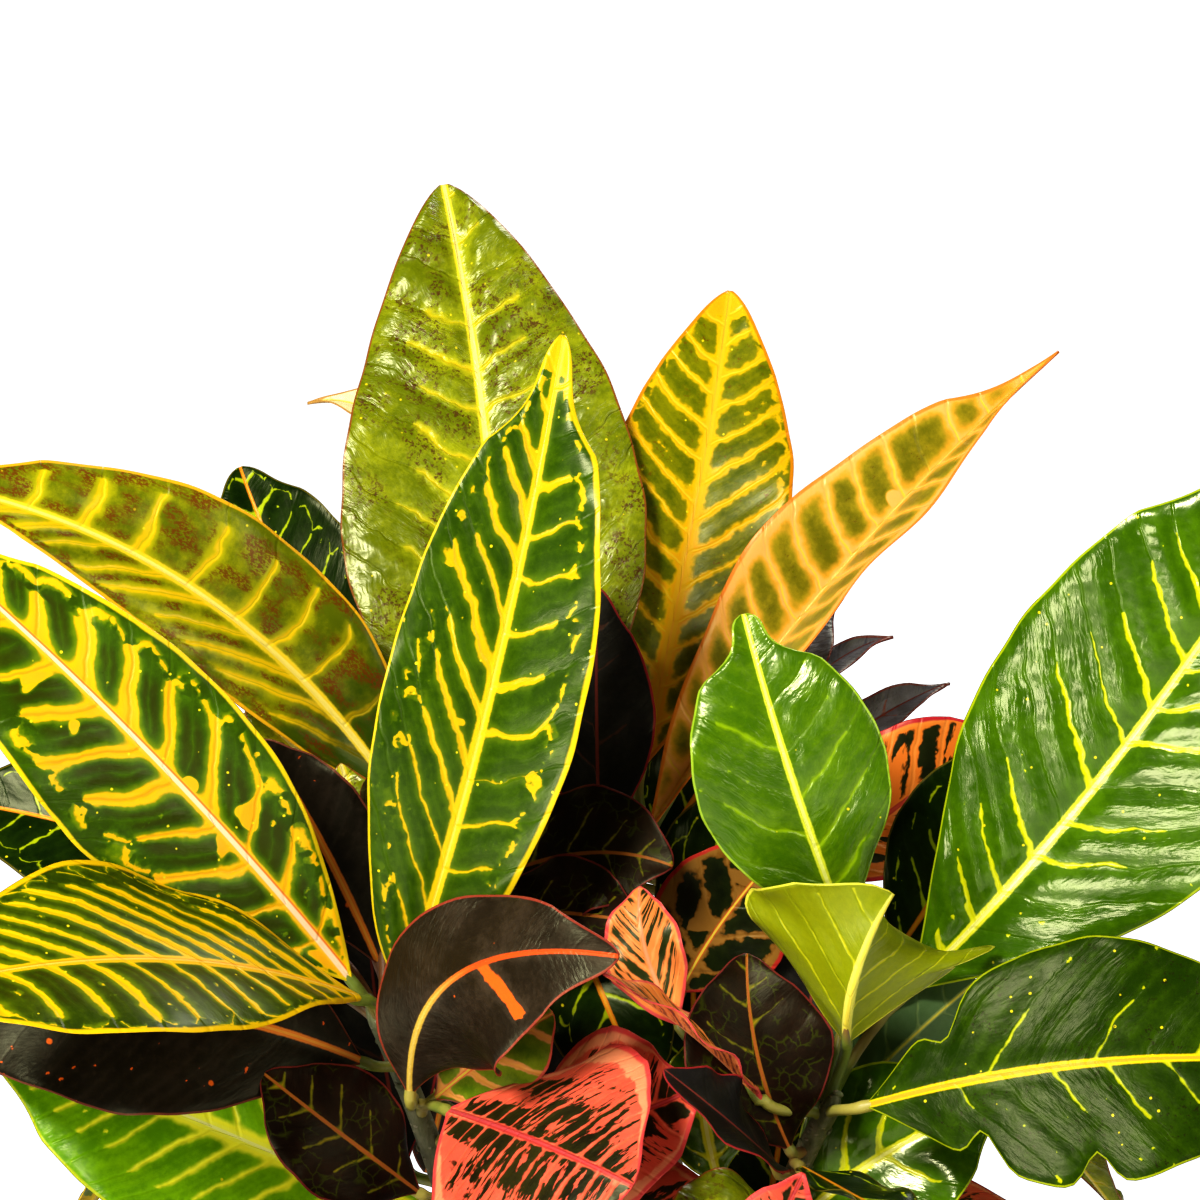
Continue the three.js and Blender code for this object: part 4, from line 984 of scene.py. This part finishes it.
def bladeMesh(entry, material):
    form = {**bladeForm, **bladeForms.get(entry["look"], {}), **entry}
    dice = np.random.default_rng(seedOf["leaves"] + entry["order"])
    steps = np.diff(midrib(entry, np.linspace(0, 1, 40))[0], axis=0)
    t, v = bladeGrid(form, np.linalg.norm(steps, axis=1).sum())

    # the margin runs a little unevenly
    beats = dice.uniform(0, 2 * math.pi, 4)
    uneven = 1 + form["edgeRagged"] * (np.sin(31 * t + beats[0] + v * 2) + np.sin(57 * t + beats[1]))
    reach = halfWidth(entry, t, np.sign(v)) * uneven
    middle = bladeSurface(entry, t, v, reach)
    steps = np.linalg.norm(np.diff(middle[:, v.shape[1] // 2], axis=0), axis=1)
    along = np.broadcast_to(np.concatenate([[0], np.cumsum(steps)])[:, None], t.shape)
    across = v * reach
    face = unit(np.cross(np.gradient(middle, axis=1), np.gradient(middle, axis=0)))
    order, gaps = veinOrder(form, dice, along, across, entry["width"] / 2)
    lift = bladeLift(form, dice, beats, t, v, across, order)

    # the midrib stands up a little above and well below
    rib = np.exp(-(across / form["ribWidth"]) ** 2) * (1 - 0.7 * t)
    half = form["thickness"] / 2 * (1 - 0.4 * np.abs(v) ** 6)
    top = middle + face * (lift + half + form["ribLift"] * rib)[..., None]
    low = middle + face * (lift - half - form["ribKeel"] * rib)[..., None]
    edge = middle + face * lift[..., None]
    outLeft = unit(middle[:, 0] - middle[:, 1]) * form["thickness"] * 0.35
    outRight = unit(middle[:, -1] - middle[:, -2]) * form["thickness"] * 0.35
    rings = np.concatenate([top, (edge[:, -1] + outRight)[:, None], low[:, ::-1],
                            (edge[:, 0] + outLeft)[:, None]], axis=1)
    faces = ringFaces(*rings.shape[:2], v.shape[1])
    mesh = meshFrom("leaf_" + entry["name"], rings.reshape(-1, 3), faces, material)

    upper = np.zeros(rings.shape[:2])
    upper[:, :v.shape[1] + 1] = 1
    seed = np.full(upper.shape, entry["order"] * 41.0)
    store(mesh, "bladePlace", ringed(across), ringed(along), seed)
    store(mesh, "veinPlace", ringed(order), ringed(np.abs(v)), ringed(gaps))
    store(mesh, "bladeReach", ringed(reach), ringed(t), upper)
    return mesh


def store(mesh, name, *values):
    block = np.stack(values, axis=-1).reshape(-1)
    mesh.attributes.new(name, "FLOAT_VECTOR", "POINT").data.foreach_set("vector", block)


stemNodes = {
    "frontLeft": ("leafy_stem_front_left", "leaf_green"),
    "backLeft": ("leafy_stem_back_left", "leaf_olive"),
    "frontRight": ("leafy_stem_front_right", "leaf_bright"),
    "backRight": ("leafy_stem_back_right", "leaf_gold"),
}
finishes = {name: leafFinish(name) for name in leafLooks}
for entry in leaves:
    addPiece("leaf_" + entry["name"], bladeMesh(entry, finishes[entry["look"]]), *stemNodes[entry["stem"]])
print("leaves made:", len(leaves))

# Stems and petioles follow their curves by geometry nodes

stems = {
    "frontLeft": {"foot": (-20, -26, 95), "rise": (-26, -30, 190), "top": (-66, -127, 30)},
    "backLeft": {"foot": (-24, 20, 95), "rise": (-28, 24, 200), "top": (-28, -71, -22)},
    "frontRight": {"foot": (26, -24, 95), "rise": (34, -30, 190), "top": (68, -154, 55)},
    "backRight": {"foot": (24, 20, 95), "rise": (22, 22, 200), "top": (20, -84, -18)},
}
stemForm = {"footRadius": 5.4, "topRadius": 3.1, "bud": 9, "lean": 10, "Sides": 20, "Knobble": 0.5,
            "Grain": 9, "Scar Gap": 7, "Scar Size": 1.5}
petioleForm = {"rootRadius": 2.6, "slimRadius": 1.6, "radius": 1.8, "endRadius": 0.7, "drop": 0.35,
               "startReach": 0.21, "startLift": 0.14, "endReach": 0.35, "grip": (0.02, 0.05, 0.09, 0.13),
               "Sides": 12, "Knobble": 0.15, "Grain": 7, "Scar Gap": 1000, "Scar Size": 0.0}


def cubic(corners, t):
    a, b, c, d = corners
    t = np.asarray(t, float)[..., None]
    return (1 - t) ** 3 * a + 3 * (1 - t) ** 2 * t * b + 3 * (1 - t) * t * t * c + t ** 3 * d


def stemCorners(stem):
    foot, middle, top = np.array(stem["foot"], float), np.array(stem["rise"], float), placed(stem["top"])
    return foot, middle, (middle + top) / 2 + np.array([0, 0, stemForm["lean"]]), top


# a petiole leaves the stem as high as its blade's base, less a share of the way out
def petioleLine(entry):
    form = petioleForm
    base = placed(entry["base"])
    spots = cubic(stemCorners(stems[entry["stem"]]), np.linspace(0.1, 0.985, 60))
    out = np.hypot(*(spots - base)[:, :2].T)
    root = spots[np.argmin(np.abs(spots[:, 2] + form["drop"] * out - base[2]))]
    length = np.linalg.norm(base - root)
    first = root + form["startReach"] * (base - root) + np.array([0, 0, form["startLift"] * length])
    _, way = midrib(entry, np.array([0.0]))
    share = np.linspace(0, 1, 16)
    points = cubic((root, first, base - way[0] * form["endReach"] * length, base), share)
    thick = [form[key] for key in ("rootRadius", "slimRadius", "slimRadius", "radius")]
    slim = np.interp(share, [0, 0.18, 0.8, 1], thick)

    # its end runs on behind the blade and tapers into the midrib
    behind = np.array(form["grip"])
    grip, gripWay = midrib(entry, behind)
    face = facing(entry["face"])
    face = unit(face - (face * gripWay).sum(-1, keepdims=True) * gripWay)
    ends = np.interp(behind, [0, behind[-1]], [form["radius"], form["endRadius"]])
    grip = grip - face * (ends * 0.75)[:, None]
    return np.concatenate([points, grip]), np.concatenate([slim, ends])


def stemLine(stem):
    share = np.linspace(0, 1, 50)
    corners = stemCorners(stem)
    points = cubic(corners, share)
    up = unit(corners[3] - corners[2])
    slim = stemForm["footRadius"] + (stemForm["topRadius"] - stemForm["footRadius"]) * share ** 0.8
    bud = np.linspace(0.1, 1, 8)
    tips = corners[3] + up * (bud * stemForm["bud"])[:, None]
    budSlim = stemForm["topRadius"] * (1.02 - bud ** 1.6) ** 0.6
    return np.concatenate([points, tips]), np.concatenate([slim, budSlim])


def nodeIn(tree, kind, values=None, **settings):
    node = tree.nodes.new(kind)
    for key, value in settings.items():
        setattr(node, key, value)
    for key, value in (values or {}).items():
        socket = node.inputs[key]
        if isinstance(value, bpy.types.NodeSocket):
            tree.links.new(value, socket)
        else:
            socket.default_value = value
    return node


def groupWith(name, inputs):
    tree = bpy.data.node_groups.new(name, "GeometryNodeTree")
    tree.interface.new_socket("Geometry", in_out="INPUT", socket_type="NodeSocketGeometry")
    for label, kind in inputs:
        tree.interface.new_socket(label, in_out="INPUT", socket_type="NodeSocket" + kind)
    tree.interface.new_socket("Geometry", in_out="OUTPUT", socket_type="NodeSocketGeometry")
    return tree, tree.nodes.new("NodeGroupInput").outputs


def scaled(tree, vector, share):
    node = tree.nodes.new("ShaderNodeVectorMath")
    node.operation = "SCALE"
    tree.links.new(vector, node.inputs[0])
    if isinstance(share, bpy.types.NodeSocket):
        tree.links.new(share, node.inputs["Scale"])
    else:
        node.inputs["Scale"].default_value = share
    return node.outputs["Vector"]


# knobbles push the bark in and out
def knobbled(tree, given, rod):
    place = nodeIn(tree, "GeometryNodeInputPosition").outputs[0]
    lumps = nodeIn(tree, "ShaderNodeTexNoise", {"Vector": place, "Detail": 3.0})
    density = nodeIn(tree, "ShaderNodeMath", {0: 1.0, 1: given["Grain"]}, operation="DIVIDE").outputs[0]
    tree.links.new(density, lumps.inputs["Scale"])
    level = nodeIn(tree, "ShaderNodeMath", {0: lumps.outputs["Fac"], 1: 0.5}, operation="SUBTRACT")
    push = nodeIn(tree, "ShaderNodeMath", {0: level.outputs[0], 1: given["Knobble"]},
                  operation="MULTIPLY").outputs[0]
    normal = nodeIn(tree, "GeometryNodeInputNormal").outputs[0]
    push = scaled(tree, normal, push)
    return nodeIn(tree, "GeometryNodeSetPosition", {"Geometry": rod, "Offset": push}).outputs[0]


# old leaf scars climb the stem in a spiral
def leafScars(tree, given, curve, thick):
    dots = nodeIn(tree, "GeometryNodeCurveToPoints", {"Curve": curve, "Length": given["Scar Gap"]},
                  mode="LENGTH")
    index = nodeIn(tree, "GeometryNodeInputIndex").outputs[0]
    turn = nodeIn(tree, "ShaderNodeMath", {0: index, 1: math.radians(137.5)}, operation="MULTIPLY")
    spin = nodeIn(tree, "FunctionNodeAxisAngleToRotation", {"Angle": turn.outputs[0]}).outputs[0]
    spun = nodeIn(tree, "FunctionNodeRotateRotation",
                  {"Rotation": dots.outputs["Rotation"], "Rotate By": spin},
                  rotation_space="LOCAL").outputs[0]
    outward = nodeIn(tree, "FunctionNodeRotateVector", {"Vector": (1, 0, 0), "Rotation": spun}).outputs[0]
    spots = nodeIn(tree, "GeometryNodeSetPosition", {"Geometry": dots.outputs["Points"],
                                                     "Offset": scaled(tree, outward, thick)}).outputs[0]
    scar = nodeIn(tree, "GeometryNodeMeshIcoSphere", {"Radius": given["Scar Size"], "Subdivisions": 2})
    scars = nodeIn(tree, "GeometryNodeInstanceOnPoints",
                   {"Points": spots, "Instance": scar.outputs[0], "Rotation": spun,
                    "Scale": (0.45, 1.1, 0.75)}).outputs[0]
    return nodeIn(tree, "GeometryNodeRealizeInstances", {"Geometry": scars}).outputs[0]


def rodGroup():
    tree, given = groupWith("rod", [("Sides", "Int"), ("Knobble", "Float"), ("Grain", "Float"),
                                    ("Scar Gap", "Float"), ("Scar Size", "Float"), ("Finish", "Material")])
    curve = nodeIn(tree, "GeometryNodeMeshToCurve", {"Mesh": given["Geometry"]}).outputs[0]
    thick = nodeIn(tree, "GeometryNodeInputNamedAttribute", {"Name": "thick"}, data_type="FLOAT").outputs[0]
    ring = nodeIn(tree, "GeometryNodeCurvePrimitiveCircle", {"Resolution": given["Sides"]}).outputs[0]
    rod = nodeIn(tree, "GeometryNodeCurveToMesh", {"Curve": curve, "Profile Curve": ring, "Scale": thick,
                                                   "Fill Caps": True}).outputs[0]
    both = tree.nodes.new("GeometryNodeJoinGeometry")
    tree.links.new(leafScars(tree, given, curve, thick), both.inputs[0])
    tree.links.new(knobbled(tree, given, rod), both.inputs[0])
    smooth = nodeIn(tree, "GeometryNodeSetShadeSmooth", {"Geometry": both.outputs[0]}).outputs[0]
    done = nodeIn(tree, "GeometryNodeSetMaterial", {"Geometry": smooth, "Material": given["Finish"]})
    tree.links.new(done.outputs[0], tree.nodes.new("NodeGroupOutput").inputs[0])
    return tree


def grown(mesh, tree, values):
    obj = bpy.data.objects.new("growing", mesh)
    bpy.context.scene.collection.objects.link(obj)
    modifier = obj.modifiers.new("grow", "NODES")
    modifier.node_group = tree
    for item in tree.interface.items_tree:
        if item.in_out == "INPUT" and item.name in values:
            modifier[item.identifier] = values[item.name]
    return applied(obj)


def lineMesh(name, lines):
    points, edges, thick = [], [], []
    for line, slim in lines:
        first = len(points)
        points += (line * mm).tolist()
        thick += (slim * mm).tolist()
        edges += [(first + k, first + k + 1) for k in range(len(line) - 1)]
    mesh = bpy.data.meshes.new(name)
    mesh.from_pydata(points, edges, [])
    mesh.attributes.new("thick", "FLOAT", "POINT").data.foreach_set("value", thick)
    return mesh


def rodValues(form, finish):
    lengths = ("Knobble", "Grain", "Scar Gap", "Scar Size")
    return {"Sides": form["Sides"], **{key: form[key] * mm for key in lengths}, "Finish": finish}


barkLook = {"ground": (0.16, 0.12, 0.055), "dark": (0.07, 0.05, 0.03), "pale": (0.34, 0.29, 0.17),
            "young": (0.1, 0.15, 0.03), "youngFrom": 0.2, "youngTo": 0.34}
stalkLook = {"green": (0.15, 0.19, 0.02), "pink": (0.3, 0.09, 0.04), "yellow": (0.42, 0.35, 0.06),
             "glow": 0.1, "glowColour": (1.0, 0.8, 0.3), "glowReach": 1.2}


def barkFinish():
    look = barkLook
    material, tree, shader = newFinish("bark")
    place = objectPlace(tree)
    x, y, z = split(place)
    broad = noise(place, 0.012, 3)
    fine = noise(joined(tree, x, y, z * 0.3), 0.0016, 4, 0.65)
    colour = blend(rise(broad, 0.35, 0.65), look["ground"], look["dark"])
    colour = blend(rise(z, look["youngFrom"], look["youngTo"]) * 0.75, colour, look["young"])
    dashes = cells(joined(tree, x, y, z * 2.2), 0.004)
    colour = blend(fall(dashes, 0.16, 0.26) * rise(fine, 0.4, 0.5), colour, look["pale"])
    feed(tree, blend(rise(fine, 0.35, 0.7) * 0.35, colour, look["pale"]), shader.inputs["Base Color"])
    feed(tree, 0.55 + fine * 0.3, shader.inputs["Roughness"])
    bumped(tree, shader, fine + fall(dashes, 0.1, 0.3) * 0.6, 0.5)
    return material


def stalkFinish():
    look = stalkLook
    material, tree, shader = newFinish("stalk")
    place = objectPlace(tree)
    patch = noise(place, 0.03, 2)
    grain = noise(place, 0.0012, 3)
    colour = blend(rise(patch, 0.4, 0.62), look["green"], look["yellow"])
    colour = blend(rise(noise(place, 0.05, 1), 0.5, 0.66) * 0.8, colour, look["pink"])
    feed(tree, colour, shader.inputs["Base Color"])
    feed(tree, 0.38 + grain * 0.15, shader.inputs["Roughness"])
    shader.inputs["Subsurface Weight"].default_value = look["glow"]
    shader.inputs["Subsurface Radius"].default_value = look["glowColour"]
    shader.inputs["Subsurface Scale"].default_value = look["glowReach"] * mm
    bumped(tree, shader, grain, 0.12)
    return material


rodTree = rodGroup()
bark, stalk = barkFinish(), stalkFinish()
for key, stem in stems.items():
    node, slot = stemNodes[key]
    trunk = grown(lineMesh("stemLine", [stemLine(stem)]), rodTree, rodValues(stemForm, bark))
    addPiece("wood_" + key, trunk, node, slot)
    lines = [petioleLine(entry) for entry in leaves if entry["stem"] == key]
    stalks = grown(lineMesh("petioleLine", lines), rodTree, rodValues(petioleForm, stalk))
    addPiece("petioles_" + key, stalks, node, slot)
print("stems and petioles made")

# Compost, with bark crumbs and a little perlite scattered by geometry nodes

potForm = {"height": 150, "baseRadius": 65, "wallTop": 133, "wallTopRadius": 86, "rimRadius": 91,
           "wall": 2.2, "floor": 3, "segments": 144, "drainRadius": 6, "drainCircle": 42, "drains": 6,
           "drainSides": 28}
soilForm = {"height": 134.3, "clearance": 0.3, "rings": 34, "segments": 120, "relief": 1.2,
            "Crumb Density": 200000.0, "Crumb Size": 2.4, "Grit Density": 5000.0, "Grit Size": 1.5}
soilLook = {"dark": (0.018, 0.012, 0.008), "mid": (0.05, 0.032, 0.02), "pale": (0.11, 0.075, 0.045),
            "rough": 0.92, "grit": (0.62, 0.6, 0.55), "gritDark": (0.4, 0.37, 0.32), "gritRough": 0.9}


def turned(name, profile, segments, material=None):
    profile = np.asarray(profile, float)
    angle = np.linspace(0, 2 * math.pi, segments, endpoint=False)
    ring = profile[(profile[:, 0] > 0)]
    points = np.stack([ring[:, None, 0] * np.cos(angle), ring[:, None, 0] * np.sin(angle),
                       np.broadcast_to(ring[:, None, 1], (len(ring), segments))], axis=-1).reshape(-1, 3)
    ends = [(0, 0, profile[0, 1]), (0, 0, profile[-1, 1])]
    first, last = len(points), len(points) + 1
    faces = []
    for i in range(len(ring) - 1):
        for k in range(segments):
            here, there = i * segments + k, i * segments + (k + 1) % segments
            faces.append((here, there, there + segments, here + segments))
    for k in range(segments):
        there = (k + 1) % segments
        far = (len(ring) - 1) * segments
        faces.append((first, there, k))
        faces.append((last, far + k, far + there))
    return meshFrom(name, np.concatenate([points, ends]), faces, material)


def wallAt(height):
    form = potForm
    share = (height - form["floor"]) / (form["wallTop"] - form["floor"])
    low, high = form["baseRadius"] - form["wall"], form["wallTopRadius"] - form["wall"]
    return low + (high - low) * share


def soilMesh(material):
    form = soilForm
    foot = potForm["floor"] + form["clearance"]
    top = form["height"]
    edge = wallAt(top) - form["clearance"] - 0.2
    profile = [(0, foot), (wallAt(foot) - form["clearance"], foot), (edge, top - 1.2)]
    for share in np.linspace(0.99, 0, form["rings"]):
        profile.append((edge * share, top + 0.9 * (1 - share ** 2)))
    mesh = turned("soil", profile, form["segments"], material)
    points = np.empty(len(mesh.vertices) * 3)
    mesh.vertices.foreach_get("co", points)
    points = points.reshape(-1, 3)
    x, y, z = (points / mm).T
    bumps = np.sin(0.13 * x + 1) * np.cos(0.17 * y + 0.05 * x)
    bumps = bumps + 0.5 * np.sin(0.31 * x - 0.2 * y) * np.cos(0.37 * y)
    points[:, 2] += np.where(z > top - 1, form["relief"] * 0.6 * bumps * mm, 0)
    mesh.vertices.foreach_set("co", points.reshape(-1))
    return mesh


def scatterGroup():
    tree, given = groupWith("scatter", [("Crumb Density", "Float"), ("Crumb Size", "Float"),
                                        ("Grit Density", "Float"), ("Grit Size", "Float"), ("Seed", "Int"),
                                        ("Crumb Finish", "Material"), ("Grit Finish", "Material"),
                                        ("Lowest", "Float")])
    place = nodeIn(tree, "GeometryNodeInputPosition").outputs[0]
    height = nodeIn(tree, "ShaderNodeSeparateXYZ", {0: place}).outputs[2]
    onTop = nodeIn(tree, "FunctionNodeCompare", {0: height, 1: given["Lowest"]},
                   operation="GREATER_THAN").outputs[0]
    joint = tree.nodes.new("GeometryNodeJoinGeometry")
    tree.links.new(given["Geometry"], joint.inputs[0])
    for kind, low, high in (("Crumb", (0.25, 0.25, 0.15), (1.3, 0.8, 0.5)),
                            ("Grit", (0.4, 0.4, 0.4), (1, 1, 0.9))):
        dots = nodeIn(tree, "GeometryNodeDistributePointsOnFaces",
                      {"Mesh": given["Geometry"], "Selection": onTop, "Density": given[kind + " Density"],
                       "Seed": given["Seed"]}).outputs["Points"]
        bit = nodeIn(tree, "GeometryNodeMeshIcoSphere",
                     {"Radius": given[kind + " Size"], "Subdivisions": 1}).outputs[0]
        sizes = nodeIn(tree, "FunctionNodeRandomValue", {0: low, 1: high, "Seed": given["Seed"]},
                       data_type="FLOAT_VECTOR").outputs[0]
        turns = nodeIn(tree, "FunctionNodeRandomValue", {0: (-0.6, -0.6, 0), 1: (0.6, 0.6, 6.28)},
                       data_type="FLOAT_VECTOR").outputs[0]
        spin = nodeIn(tree, "FunctionNodeEulerToRotation", {0: turns}).outputs[0]
        bits = nodeIn(tree, "GeometryNodeInstanceOnPoints", {"Points": dots, "Instance": bit,
                                                             "Rotation": spin, "Scale": sizes}).outputs[0]
        loose = nodeIn(tree, "GeometryNodeRealizeInstances", {"Geometry": bits}).outputs[0]
        done = nodeIn(tree, "GeometryNodeSetMaterial", {"Geometry": loose,
                                                        "Material": given[kind + " Finish"]}).outputs[0]
        tree.links.new(done, joint.inputs[0])
    tree.links.new(joint.outputs[0], tree.nodes.new("NodeGroupOutput").inputs[0])
    return tree


def soilFinish():
    look = soilLook
    material, tree, shader = newFinish("compost")
    place = objectPlace(tree)
    bit = split(cells(place, 0.0035, "F1", "Color"))[0]
    fine = noise(place, 0.0012, 4, 0.7)
    colour = blend(rise(bit, 0.2, 0.9), look["dark"], look["mid"])
    feed(tree, blend(rise(fine, 0.5, 0.75) * 0.6, colour, look["pale"]), shader.inputs["Base Color"])
    shader.inputs["Roughness"].default_value = look["rough"]
    bumped(tree, shader, fine, 1.0)
    return material


def gritFinish():
    material, tree, shader = newFinish("perlite")
    fine = noise(objectPlace(tree), 0.0008, 3, 0.6)
    colour = blend(rise(fine, 0.3, 0.7), soilLook["grit"], soilLook["gritDark"])
    feed(tree, colour, shader.inputs["Base Color"])
    shader.inputs["Roughness"].default_value = soilLook["gritRough"]
    bumped(tree, shader, fine, 0.5)
    return material


compost = soilFinish()
soilValues = {"Crumb Density": soilForm["Crumb Density"], "Crumb Size": soilForm["Crumb Size"] * mm,
              "Grit Density": soilForm["Grit Density"], "Grit Size": soilForm["Grit Size"] * mm,
              "Seed": seedOf["grit"], "Crumb Finish": compost, "Grit Finish": gritFinish(),
              "Lowest": (soilForm["height"] - 0.8) * mm}
addPiece("soil_compost", grown(soilMesh(compost), scatterGroup(), soilValues), "soil", "soil")
print("soil made")


# Pot: a turned plastic pot with a rolled rim and drain holes

potLook = {"ground": (0.022, 0.021, 0.02), "worn": (0.05, 0.048, 0.045), "dust": (0.13, 0.11, 0.09),
           "gloss": 0.42}


def potProfile(form):
    base, wallTop, top, rim = form["baseRadius"], form["wallTop"], form["height"], form["rimRadius"]
    profile = [(0, 0), (base - 2, 0), (base - 0.9, 0.3), (base - 0.2, 1.1), (base, 2)]
    for share in np.linspace(0.1, 1, 10):
        profile.append((base + (form["wallTopRadius"] - base) * share, 2 + (wallTop - 2) * share))
    profile += [(rim - 1.4, wallTop + 1.2), (rim - 0.3, wallTop + 2.1), (rim, wallTop + 4)]
    profile += [(rim + 0.3, top - 8), (rim + 0.6, top - 2), (rim + 0.5, top - 1), (rim - 0.3, top - 0.2)]
    profile += [(rim - 1.6, top), (rim - 2.9, top - 0.4), (rim - 3.6, top - 1.4), (rim - 4.6, top - 6)]
    for height in np.linspace(wallTop, form["floor"], 6):
        profile.append((wallAt(height), height))
    profile.append((0, form["floor"]))
    return profile


def drainCutter(form):
    points, faces = [], []
    sides, radius = form["drainSides"], form["drainRadius"]
    for k in range(form["drains"]):
        turn = 2 * math.pi * (k + 0.5) / form["drains"]
        x, y = form["drainCircle"] * math.cos(turn), form["drainCircle"] * math.sin(turn)
        low = len(points)
        high = low + sides
        for z in (-2, 2 * form["floor"]):
            for angle in np.linspace(0, 2 * math.pi, sides, endpoint=False):
                points.append((x + radius * math.cos(angle), y + radius * math.sin(angle), z))
        faces.append(tuple(range(low, high))[::-1])
        faces.append(tuple(range(high, high + sides)))
        for n in range(sides):
            there = (n + 1) % sides
            faces.append((low + n, low + there, high + there, high + n))
    return bpy.data.objects.new("drains", meshFrom("drains", points, faces))


def potMesh(material):
    solid = turned("pot", potProfile(potForm), potForm["segments"], material)
    body, cutter = bpy.data.objects.new("potBody", solid), drainCutter(potForm)
    bpy.context.scene.collection.objects.link(body)
    bpy.context.scene.collection.objects.link(cutter)
    cut = body.modifiers.new("drains", "BOOLEAN")
    cut.operation, cut.object, cut.solver = "DIFFERENCE", cutter, "EXACT"
    result = applied(body)
    bpy.data.objects.remove(cutter)
    return result


def potFinish():
    look = potLook
    material, tree, shader = newFinish("potPlastic")
    place = objectPlace(tree)
    x, y, z = split(place)
    broad = noise(place, 0.05, 3)
    fine = noise(place, 0.0006, 2)
    scuffs = noise(joined(tree, x, y, z * 0.15), 0.004, 4, 0.7)
    colour = blend(rise(broad, 0.35, 0.7), look["ground"], look["worn"])
    colour = blend(rise(scuffs, 0.62, 0.75) * 0.35, colour, look["dust"])
    splashed = rise(broad, 0.5, 0.8) * fall(z, 0.0, 0.03) * 0.5
    feed(tree, blend(splashed, colour, look["dust"]), shader.inputs["Base Color"])
    feed(tree, look["gloss"] + rise(scuffs, 0.5, 0.8) * 0.25, shader.inputs["Roughness"])
    bumped(tree, shader, fine + scuffs * 0.3, 0.06)
    return material


addPiece("pot_turned", potMesh(potFinish()), "pot", "pot")
print("pot made")
